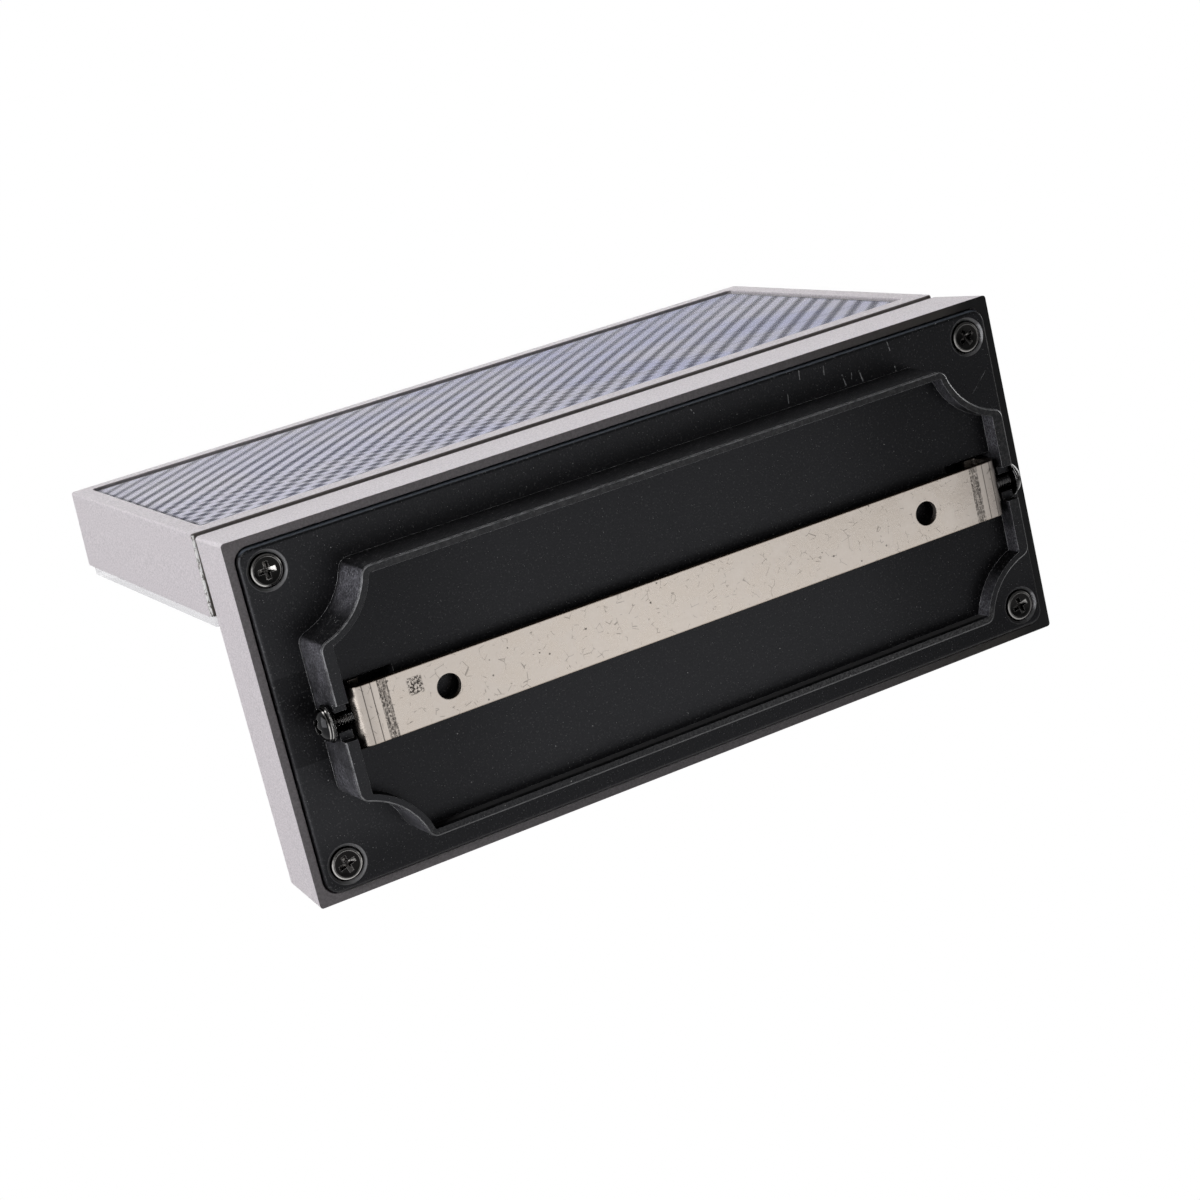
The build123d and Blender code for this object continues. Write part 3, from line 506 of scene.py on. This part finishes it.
def black_plastic():
    """Black moulded plastic, finely textured, dusty, scratched, with a smooth patch at the left and painted
    light.
    """
    look = Look("black_plastic", Specular_Tint=(0.92, 0.93, 1.0, 1))
    look.soften(0.2)
    grain = look.noise(0.42, 3.0, 0.65)
    cloud = look.noise(22.0, 4.0, 0.6)
    base = look.mix(look.fade(cloud, 0.35, 0.7), PLASTIC_DARK, PLASTIC_LIGHT)
    patch = look.times(look.band(look.z, *SMOOTH_PATCH_Z, 0.15), look.fade(look.x, *SMOOTH_PATCH_X))
    base = look.mix(look.times(patch, 0.8), base, SMOOTH_PATCH)
    rearward = look.dot(look.normal, (0, -1, 0))
    rim_face = look.times(look.fade(rearward, 0.9, 0.97), look.fade(look.y, 0.6, 0.3))
    low_rim = look.fade(look.z, *LOW_RIM_Z)
    base = dusty_rim(look, base, rim_face, low_rim)
    upward = look.facing((0, 0, 1))
    # Painted light on the bottom rim's upward inner wall, much paler than the plastic around it
    painted_wall_light = look.times(upward, look.fade(look.z, -20.0, -26.0), look.fade(look.y, 1.3, 2.3))
    base = look.mix(look.times(painted_wall_light, 0.9), base, INNER_WALL_PAINTED_LIGHT)
    # Painted bluish highlight along the plate's upward top edge
    base = look.mix(look.times(upward, look.fade(look.z, 36.0, 38.0), 0.8), base, TOP_EDGE_HIGHLIGHT)
    grit = look.fade(look.noise(0.5, 2.0, 0.7), 0.56, 0.72)
    base = look.mix(look.times(grit, 0.22), base, GRIT)
    # Pale scuffs on the left-facing walls, partly wear and partly painted light
    base = look.mix(wall_wear_and_light(look), base, WALL_WEAR_AND_LIGHT)
    # Pale edge lines, partly wear and dust, partly painted highlight
    line = edge_wear_and_highlights(look, rearward, low_rim)
    base = look.mix(look.times(line, 0.85), base, EDGE_WEAR_AND_HIGHLIGHT)
    # Painted highlight: a paler band on each corner hole's mouth and a bright glint on the outer side of
    # the right ones
    rim_highlights, rim_glints = bore_rims(look)
    base = look.mix(look.times(rim_highlights, 0.8), base, BORE_RIM)
    base = look.mix(rim_glints, base, BORE_GLINT)
    dust = look.plus(look.times(look.specks(0.9, 0.11, 0.5), 0.6), look.specks(2.4, 0.17, 0.25))
    base = look.mix(look.times(dust, 0.7), base, SPECK)
    marks = look.plus(*(look.stroke(*scratch) for scratch in SCRATCHES))
    broken = look.fade(look.noise(1.1, 3.0, 0.6), 0.36, 0.52)
    look.colour(look.mix(look.times(marks, broken, 0.9), base, SCRATCH))
    shine = look.plus(plastic_shine(look, patch, upward), look.times(line, 0.9), rim_glints)
    look.feed(look.shader.inputs["Specular IOR Level"], shine)
    look.rough(look.fade(grain, 0.25, 0.75, 0.3, 0.42))
    look.bump(grain, 0.06, 0.7)
    return look.material


def raw_steel():
    """Bare rolled steel with bend marks, scuffs, tinted cut edges and painted shade towards both ends."""
    look = Look("raw_steel", Metallic=0.92)
    look.soften(0.2)
    side = look.math("ABSOLUTE", look.x)
    cloud = look.noise(7.0, 5.0, 0.65)
    fine = look.noise(0.6, 4.0, 0.7)
    base = look.mix(look.fade(cloud, 0.3, 0.72), STEEL_DARK, STEEL_LIGHT)
    base = look.mix(look.times(look.fade(fine, 0.48, 0.75), 0.35), base, STEEL_SHEEN)
    cut_edge = look.plus(look.facing((0, 0, 1)), look.facing((0, 0, -1)))
    rim = look.fade(look.math("ABSOLUTE", look.z), *TINTED_EDGE_Z)
    base = look.mix(look.plus(look.times(cut_edge, 0.75), look.times(rim, 0.45)), base, CUT_EDGE)
    streak = look.noise(0.16, 2.0, 0.6, (1, 1, 0.04))
    drawn = look.times(look.band(side, *STREAKS_X, 0.1), look.fade(streak, 0.32, 0.52))
    bends = look.plus(*(look.band(side, *line, 0.1) for line in BEND_LINES_X))
    dark = look.plus(look.times(drawn, look.fade(fine, 0.35, 0.55), 0.95), look.times(bends, 0.9))
    scuff_zone = look.times(look.band(look.x, *SCUFF_X, 0.3), look.band(look.z, *SCUFF_Z, 0.3))
    scuff = look.times(scuff_zone, look.fade(look.noise(0.7, 3.0, 0.7), 0.46, 0.54))
    hair = look.times(
        look.fade(look.cells(2.6, "DISTANCE_TO_EDGE"), 0.0, 0.03, 1.0, 0.0),
        look.fade(look.noise(2.2, 2.0), 0.53, 0.6),
    )
    spots = look.times(look.specks(2.4, 0.3, 0.2), 0.7)
    marks = look.plus(dark, scuff, look.times(hair, 0.5), spots)
    # Painted shade: darker round the bends and towards both ends, most at the right end
    shaded = look.plus(
        look.fade(side, 78.5, 83.5, 0.0, 0.28),
        look.fade(look.x, 66.0, 84.0, 0.0, 0.38),
        look.fade(look.x, -10.0, -70.0, 0.0, 0.15),
    )
    base = look.mix(shaded, base, STEEL_SHADE)
    look.colour(look.mix(look.times(marks, 0.92), base, STEEL_MARK))
    look.rough(look.math("ADD", look.fade(cloud, 0.3, 0.7, 0.22, 0.33), look.times(marks, 0.25)))
    look.bump(look.noise(1.6, 4.0, 0.7), 0.05, 0.3)
    look.bump(marks, 0.04, 0.5)
    return look.material


def screw_metal(name, tone, roughness, highlight_axis=None, slopes=(0.35, 0.93)):
    """Plated screw, worn brighter at its edges; given an axis, also a painted highlight on slopes about it,
    both fainter to the right.
    """
    look = Look(name, Metallic=0.95)
    wear = look.noise(0.6, 4.0, 0.7)
    light = tuple(min(1.0, channel * 2.0) for channel in tone[:3]) + (1,)
    base = look.mix(look.fade(wear, 0.5, 0.8), tone, light)
    worn = look.times(look.edges(0.14), look.fade(wear, 0.3, 0.6), 0.85)
    if highlight_axis:
        # Painted highlight on slopes about the axis; wear and highlight made fainter towards the right as
        # painted shade
        slope = look.math("ABSOLUTE", look.dot(look.normal, highlight_axis))
        painted_ring = look.times(look.band(slope, *slopes, 0.05), look.fade(wear, 0.25, 0.5, 0.5, 1.0))
        worn = look.times(look.plus(worn, painted_ring), look.fade(look.x, 20.0, 80.0, 0.85, 0.45))
    look.colour(look.mix(worn, base, WEAR_AND_HIGHLIGHT_METAL))
    look.rough(look.fade(wear, 0.3, 0.7, roughness * 0.8, roughness * 1.3))
    look.bump(wear, 0.015, 0.3)
    return look.material


def plain(name, dark, light, size, roughness, depth=0.02, **values):
    """Plain material with grain, two tones and a little relief."""
    look = Look(name, **values)
    grain = look.noise(size, 3.0, 0.6)
    look.colour(look.mix(look.fade(grain, 0.3, 0.7), dark, light))
    look.rough(look.fade(grain, 0.3, 0.7, roughness * 0.85, roughness * 1.15))
    look.bump(grain, depth, 0.4)
    return look.material


def solar_cell():
    """Blue-grey cells with soft light diagonal stripes that step from row to row near the base, with
    painted light in their contrast and tint.
    """
    look = Look("solar_cell", Roughness=0.5, Specular_IOR_Level=0.0)
    row = look.math("FLOOR", look.math("DIVIDE", look.y, ROW_PITCH))
    step = look.math("SUBTRACT", look.times(look.math("ADD", row, 0.5), ROW_PITCH), look.y)
    fray = look.times(look.fade(look.x, 110.0, -60.0, 0.15, 1.0), look.fade(look.y, 100.0, 58.0))
    stepped = look.math("ADD", look.y, look.times(step, fray))
    out = look.math("SUBTRACT", stepped, PANEL_MID_Y)
    phase = look.math("DIVIDE", look.x, STRIPE_PITCH_X)
    phase = look.math("ADD", phase, look.math("DIVIDE", out, STRIPE_PITCH_Y))
    phase = look.math("ADD", phase, look.times(look.math("POWER", out, 2.0), STRIPE_BOW))
    phase = look.math("SUBTRACT", phase, STRIPE_START)
    wave = look.math("COSINE", look.times(phase, math.tau))
    # Painted light: the stripes' contrast falls towards the far side and towards the right
    contrast = look.times(
        look.fade(look.y, 90.0, 138.0, 1.0, 0.55),
        look.fade(look.x, -20.0, 90.0, 1.0, 0.82),
    )
    light = look.math("SUBTRACT", look.fade(wave, -1.2, 0.65), STRIPE_MEAN)
    light = look.math("MULTIPLY_ADD", light, contrast, STRIPE_MEAN)
    haze = look.fade(look.noise(26.0, 3.0, 0.55), 0.36, 0.64)
    pale = look.mix(haze, *CELL_PALE)
    deep = look.mix(haze, *CELL_DEEP)
    # Painted light: the pale stripes turn paler towards the left
    pale = look.mix(look.fade(look.x, 40.0, -80.0, 0.0, 0.6), pale, CELL_PALE_PAINTED_LIGHT)
    look.colour(look.mix(light, deep, pale))
    return look.material


def clear(name, tint, **values):
    """Clear plastic with faint waviness."""
    look = Look(name, **values)
    look.colour(look.mix(look.noise(20.0, 2.0), tint, tuple(c * 0.97 for c in tint[:3]) + (1,)))
    look.bump(look.noise(12.0, 2.0), 0.03, 0.15)
    return look.material


LOOKS = {
    "housing_paint": housing_paint(),
    "black_plastic": black_plastic(),
    "raw_steel": raw_steel(),
    "solar_cell": solar_cell(),
    "black_screw": screw_metal("black_screw", (0.01, 0.0097, 0.0094, 1), 0.18, highlight_axis=(0, 1, 0)),
    "fixing_screw": screw_metal(
        "fixing_screw", (0.017, 0.017, 0.018, 1), 0.1, highlight_axis=(1, 0, 0), slopes=(0.34, 0.46)
    ),
    "inner_steel": screw_metal("inner_steel", (0.5, 0.5, 0.51, 1), 0.3),
    "contact_metal": screw_metal("contact_metal", (0.55, 0.53, 0.47, 1), 0.3),
    "seal_rubber": plain("seal_rubber", (0.01, 0.009, 0.008, 1), (0.018, 0.016, 0.014, 1), 0.5, 0.7),
    "button_rubber": plain("button_rubber", (0.014, 0.014, 0.015, 1), (0.024, 0.024, 0.025, 1), 0.4, 0.6),
    "lead_jacket": plain("lead_jacket", (0.014, 0.014, 0.014, 1), (0.024, 0.024, 0.024, 1), 0.6, 0.5),
    "panel_tape": plain("panel_tape", (0.02, 0.02, 0.02, 1), (0.035, 0.035, 0.035, 1), 0.8, 0.85),
    "panel_board": plain("panel_board", (0.012, 0.013, 0.016, 1), (0.022, 0.023, 0.028, 1), 1.5, 0.5),
    "white_plastic": plain("white_plastic", (0.74, 0.74, 0.72, 1), (0.81, 0.81, 0.79, 1), 1.2, 0.45),
    "light_board": plain("light_board", (0.7, 0.7, 0.69, 1), (0.77, 0.77, 0.76, 1), 0.8, 0.4),
    "led_phosphor": plain("led_phosphor", (0.7, 0.52, 0.08, 1), (0.78, 0.62, 0.14, 1), 0.3, 0.4),
    "inner_plastic": plain("inner_plastic", (0.02, 0.02, 0.02, 1), (0.035, 0.035, 0.035, 1), 0.6, 0.5),
    "battery_wrap": plain("battery_wrap", (0.03, 0.1, 0.27, 1), (0.05, 0.14, 0.34, 1), 3.0, 0.3),
    "control_board": plain("control_board", (0.008, 0.075, 0.035, 1), (0.014, 0.11, 0.05, 1), 1.0, 0.35),
    "panel_clear": clear("panel_clear", (0.9, 0.92, 0.96, 1), Alpha=0.05, Roughness=0.12),
    "lens_clear": clear("lens_clear", (0.82, 0.79, 0.88, 1), Alpha=0.3, Roughness=0.1),
}

for row in RECORD["subparts"]:
    mesh = NODES[row["node"]].data
    mesh.materials.clear()
    mesh.materials.append(LOOKS[row["material_slot"]])


def mesh_object(name, vertices, faces, material):
    """New mesh object with one material."""
    mesh = bpy.data.meshes.new(name)
    mesh.from_pydata(vertices, [], faces)
    mesh.validate()
    piece = bpy.data.objects.new(name, mesh)
    bpy.context.scene.collection.objects.link(piece)
    mesh.materials.append(material)
    return piece


def smooth(piece, degrees):
    """Smooth shading with edges over an angle kept sharp, and faces turned outwards."""
    work = bmesh.new()
    work.from_mesh(piece.data)
    bmesh.ops.remove_doubles(work, verts=work.verts, dist=1e-7)
    bmesh.ops.recalc_face_normals(work, faces=work.faces)
    work.to_mesh(piece.data)
    work.free()
    piece.data.shade_smooth()
    piece.data.set_sharp_from_angle(angle=math.radians(degrees))


def rings_to_faces(rings, steps):
    """Faces of a closed solid whose vertices lie in rings of the same number of steps."""
    faces = []
    for row in range(rings - 1):
        for i in range(steps):
            j = (i + 1) % steps
            low = row * steps
            high = low + steps
            faces.append((low + i, low + j, high + j, high + i))
    faces.append(tuple(range(steps))[::-1])
    faces.append(tuple(range((rings - 1) * steps, rings * steps)))
    return faces


def lathe(profile, steps=LATHE_STEPS):
    """Vertices and faces of a closed solid of revolution about Z from (radius, height) pairs."""
    vertices = []
    for radius, height in profile:
        for i in range(steps):
            angle = math.tau * i / steps
            vertices.append((radius * math.cos(angle), radius * math.sin(angle), height))
    return vertices, rings_to_faces(len(profile), steps)


def thread(core, pitch, depth, start, end, steps=32, rows_per_turn=8):
    """Vertices and faces of a threaded rod about Z that tapers off at its far end."""
    vertices = []
    rows = int((end - start) / pitch * rows_per_turn)
    for row in range(rows + 1):
        height = start + (end - start) * row / rows
        point = min(1.0, (end - height) / (1.5 * pitch))
        for i in range(steps):
            angle = math.tau * i / steps
            turn = (height / pitch - i / steps) % 1.0
            crest = 1.0 - abs(2.0 * turn - 1.0)
            radius = (core - depth * (1.0 - crest)) * (0.72 + 0.28 * point)
            vertices.append((radius * math.cos(angle), radius * math.sin(angle), height))
    return vertices, rings_to_faces(rows + 1, steps)


def cross_cutter(arm, width, depth, top):
    """Tapered cross that cuts a driver recess down from a height along +Z."""
    half = width / 2
    outline = [
        (arm, -half), (arm, half), (half, half), (half, arm), (-half, arm), (-half, half),
        (-arm, half), (-arm, -half), (-half, -half), (-half, -arm), (half, -arm), (half, -half),
    ]
    rings = ((1.12, top - 1.0), (1.0, top), (0.62, top + depth * 0.75), (0.3, top + depth))
    vertices = [(u * size, v * size, height) for size, height in rings for u, v in outline]
    return vertices, rings_to_faces(len(rings), len(outline))


def cut(piece, cutter):
    """Piece with the cutter taken out of it, as a plain mesh."""
    modifier = piece.modifiers.new("cut", "BOOLEAN")
    modifier.operation = "DIFFERENCE"
    modifier.solver = "EXACT"
    modifier.object = cutter
    graph = bpy.context.evaluated_depsgraph_get()
    made = bpy.data.meshes.new_from_object(piece.evaluated_get(graph))
    piece.modifiers.clear()
    piece.data = made
    bpy.data.objects.remove(cutter)


def add_mesh(piece, other):
    """Adds another object's mesh to a piece and drops that object."""
    work = bmesh.new()
    work.from_mesh(piece.data)
    work.from_mesh(other.data)
    work.to_mesh(piece.data)
    work.free()
    bpy.data.objects.remove(other)


def driver_screw(name, material, profile, recess, rod):
    """Screw along +Z with its seat at the origin: turned head, driver recess and threaded rod."""
    piece = mesh_object(name, *lathe(profile), material)
    smooth(piece, TURNED_SHARP)
    cutter = mesh_object("cutter", *cross_cutter(*recess), material)
    smooth(cutter, TURNED_SHARP)
    cut(piece, cutter)
    smooth(piece, CUT_SHARP)
    rod_piece = mesh_object("rod", *thread(*rod), material)
    smooth(rod_piece, THREAD_SHARP)
    add_mesh(piece, rod_piece)
    return piece


def dome(radius, base, rise, steps=10):
    """Profile of a low dome from its rim to its crown, downwards from a base height."""
    return [
        (radius * math.cos(math.pi / 2 * i / steps) + 0.02, base - rise * math.sin(math.pi / 2 * i / steps))
        for i in range(steps + 1)
    ]


def placed(piece, point, direction):
    """Moves a piece's mesh to a seat point, its +Z along a direction, and into metres."""
    turn = Vector((0, 0, 1)).rotation_difference(Vector(direction)).to_matrix().to_4x4()
    piece.data.transform(Matrix.Scale(MM, 4) @ Matrix.Translation(point) @ turn)
    return piece


def fixing_screw(side, end):
    """Washer-head screw at one end, in the place of its node."""
    node = f"{end}_fixing_screw"
    body = f"{end}_screw"
    low, high = box_mm(node)
    washer = (high.y - low.y) / 2
    profile = [
        (1.6, 0.0), (washer - 0.15, 0.0), (washer, -0.12), (washer, -0.45),
        (washer - 0.15, -0.6), (washer - 0.45, -0.64),
    ] + dome(washer - 0.55, -0.75, FIXING_HEAD_HEIGHT - 0.75)
    recess = (*FIXING_RECESS, -FIXING_HEAD_HEIGHT)
    rod = (FIXING_SHANK, THREAD_PITCH, THREAD_DEPTH, -0.3, SHANK_LENGTH)
    screw = driver_screw(f"{node}_detail", LOOKS["fixing_screw"], profile, recess, rod)
    screw.data.transform(Matrix.Rotation(math.radians(FIXING_TURN), 4, "Z"))
    head_end = low.x if side < 0 else high.x
    seat = Vector((head_end - side * FIXING_HEAD_HEIGHT, (low.y + high.y) / 2, (low.z + high.z) / 2))
    placed(screw, seat, (-side, 0, 0))
    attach(screw, body)
    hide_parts(node)


def corner_screw(side_x, side_z, turn):
    """Flat-headed screw of the back plate at one corner."""
    edge = CORNER_HEAD_RADIUS
    top = CORNER_HEAD_HEIGHT
    profile = [
        (1.2, 0.0), (edge - 0.1, 0.0), (edge, -0.1), (edge, 0.5 - top), (edge - 0.12, 0.22 - top),
        (edge - 0.4, 0.04 - top), (edge - 0.6, -top), (edge - 0.75, 0.07 - top), (0.05, 0.07 - top),
    ]
    label = ("lower" if side_z < 0 else "upper") + ("_left" if side_x < 0 else "_right")
    recess = (*CORNER_RECESS, -top)
    rod = (CORNER_SHANK, THREAD_PITCH, THREAD_DEPTH, -0.2, SHANK_LENGTH)
    screw = driver_screw(f"corner_screw_{label}", LOOKS["black_screw"], profile, recess, rod)
    screw.data.transform(Matrix.Rotation(math.radians(turn), 4, "Z"))
    low, high = box_mm("back_plate_screws")
    x = (low.x if side_x < 0 else high.x) - side_x * edge
    z = (low.z if side_z < 0 else high.z) - side_z * edge
    placed(screw, Vector((x, low.y + top, z)), (0, 1, 0))
    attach(screw, "light")
    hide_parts("back_plate_screws")


fixing_screw(-1, "left")
fixing_screw(1, "right")
for corner in CORNER_SCREWS:
    corner_screw(*corner)


def seen_directly(tree, names):
    """1 for rays of any of the named kinds."""
    path = tree.nodes.new("ShaderNodeLightPath")
    total = path.outputs[names[0]]
    for name in names[1:]:
        total = larger(tree, total, path.outputs[name])
    return total


def larger(tree, first, second):
    """Larger of two values."""
    node = tree.nodes.new("ShaderNodeMath")
    node.operation = "MAXIMUM"
    for socket, value in zip(node.inputs, (first, second)):
        if isinstance(value, bpy.types.NodeSocket):
            tree.links.new(value, socket)
        else:
            socket.default_value = value
    return node.outputs[0]


def ramp(tree, value, low, high, start, end):
    """Smooth step of a value from start to end."""
    node = tree.nodes.new("ShaderNodeMapRange")
    node.interpolation_type = "SMOOTHSTEP"
    tree.links.new(value, node.inputs["Value"])
    for socket, number in zip(node.inputs[1:5], (low, high, start, end)):
        socket.default_value = number
    return node.outputs[0]


def coordinate(tree, output, axis):
    """One axis of a texture coordinate."""
    parts = tree.nodes.new("ShaderNodeSeparateXYZ")
    tree.links.new(tree.nodes.new("ShaderNodeTexCoord").outputs[output], parts.inputs[0])
    return parts.outputs[axis]


def floor_material():
    """Floor: white seen directly, fading to the right where mirrored, dull otherwise, clear from below."""
    material = bpy.data.materials.new("floor")
    material.use_nodes = True
    tree = material.node_tree
    plain_floor = tree.nodes["Principled BSDF"]
    plain_floor.inputs["Base Color"].default_value = FLOOR_COLOUR
    plain_floor.inputs["Roughness"].default_value = FLOOR_ROUGHNESS
    across = coordinate(tree, "Object", "X")
    fade_range = (FLOOR_FADE_START * MM, FLOOR_FADE_END * MM)
    mirrored = ramp(tree, across, *fade_range, FLOOR_FADE_HIGH, FLOOR_FADE_LOW)
    direct = seen_directly(tree, ("Is Camera Ray", "Is Transmission Ray"))
    white = tree.nodes.new("ShaderNodeEmission")
    tree.links.new(larger(tree, direct, mirrored), white.inputs["Strength"])
    blend = tree.nodes.new("ShaderNodeMixShader")
    seen = seen_directly(tree, ("Is Camera Ray", "Is Transmission Ray", "Is Glossy Ray"))
    tree.links.new(seen, blend.inputs[0])
    tree.links.new(plain_floor.outputs[0], blend.inputs[1])
    tree.links.new(white.outputs[0], blend.inputs[2])
    one_sided = tree.nodes.new("ShaderNodeMixShader")
    tree.links.new(tree.nodes.new("ShaderNodeNewGeometry").outputs["Backfacing"], one_sided.inputs[0])
    tree.links.new(blend.outputs[0], one_sided.inputs[1])
    tree.links.new(tree.nodes.new("ShaderNodeBsdfTransparent").outputs[0], one_sided.inputs[2])
    tree.links.new(one_sided.outputs[0], tree.nodes["Material Output"].inputs["Surface"])
    return material


def add_floor():
    """Square floor under the light, as part of the stage."""
    half = FLOOR_SIZE / 2 * MM
    height = FLOOR_Z * MM
    corners = [(-half, -half, height), (half, -half, height), (half, half, height), (-half, half, height)]
    floor = mesh_object("floor", corners, [(0, 1, 2, 3)], floor_material())


def world_light():
    """Backdrop: white seen directly, mirrored on the far side and low down, dim otherwise."""
    world = bpy.data.worlds.new("studio")
    bpy.context.scene.world = world
    world.use_nodes = True
    tree = world.node_tree
    background = tree.nodes["Background"]
    background.inputs["Color"].default_value = (1, 1, 1, 1)
    far_side = ramp(tree, coordinate(tree, "Generated", "Y"), *FAR_SIDE_Y, DARK_ROOM, 1.0)
    low_sky = ramp(tree, coordinate(tree, "Generated", "Z"), *LOW_SKY_Z, LOW_SKY, DARK_ROOM)
    gloss = tree.nodes.new("ShaderNodeMath")
    gloss.operation = "MULTIPLY"
    tree.links.new(seen_directly(tree, ("Is Glossy Ray",)), gloss.inputs[0])
    tree.links.new(larger(tree, far_side, low_sky), gloss.inputs[1])
    direct = seen_directly(tree, ("Is Camera Ray", "Is Transmission Ray"))
    level = larger(tree, larger(tree, direct, gloss.outputs[0]), AMBIENT)
    tree.links.new(level, background.inputs["Strength"])


def softbox(name, place, width, height, radiance):
    """Area lamp at a place, aimed at the light's middle, of a given brightness."""
    lamp = bpy.data.lights.new(name, "AREA")
    lamp.shape = "RECTANGLE"
    lamp.size = width * MM
    lamp.size_y = height * MM
    lamp.energy = radiance * math.pi * lamp.size * lamp.size_y
    holder = bpy.data.objects.new(name, lamp)
    bpy.context.scene.collection.objects.link(holder)
    holder.location = Vector(place) * MM
    holder.rotation_mode = "QUATERNION"
    holder.rotation_quaternion = (Vector(LAMP_TARGET) - Vector(place)).to_track_quat("-Z", "Y")


def add_camera():
    """Camera at its measured place."""
    camera_data = bpy.data.cameras.new("camera")
    camera_data.lens = CAMERA_LENS
    camera_data.sensor_width = CAMERA_SENSOR
    camera_data.clip_start = CAMERA_CLIP_M[0]
    camera_data.clip_end = CAMERA_CLIP_M[1]
    camera = bpy.data.objects.new("camera", camera_data)
    bpy.context.scene.collection.objects.link(camera)
    axis = Vector(CAMERA_AXIS).normalized()
    right = axis.cross(Vector(CAMERA_UP)).normalized()
    up = right.cross(axis)
    turn = Matrix((right, up, -axis)).transposed().to_4x4()
    camera.matrix_world = Matrix.Translation(Vector(CAMERA_PLACE) * MM) @ turn
    bpy.context.scene.camera = camera


add_floor()
world_light()
for lamp_settings in LAMPS:
    softbox(*lamp_settings)
add_camera()
bpy.context.scene.view_settings.view_transform = "Standard"
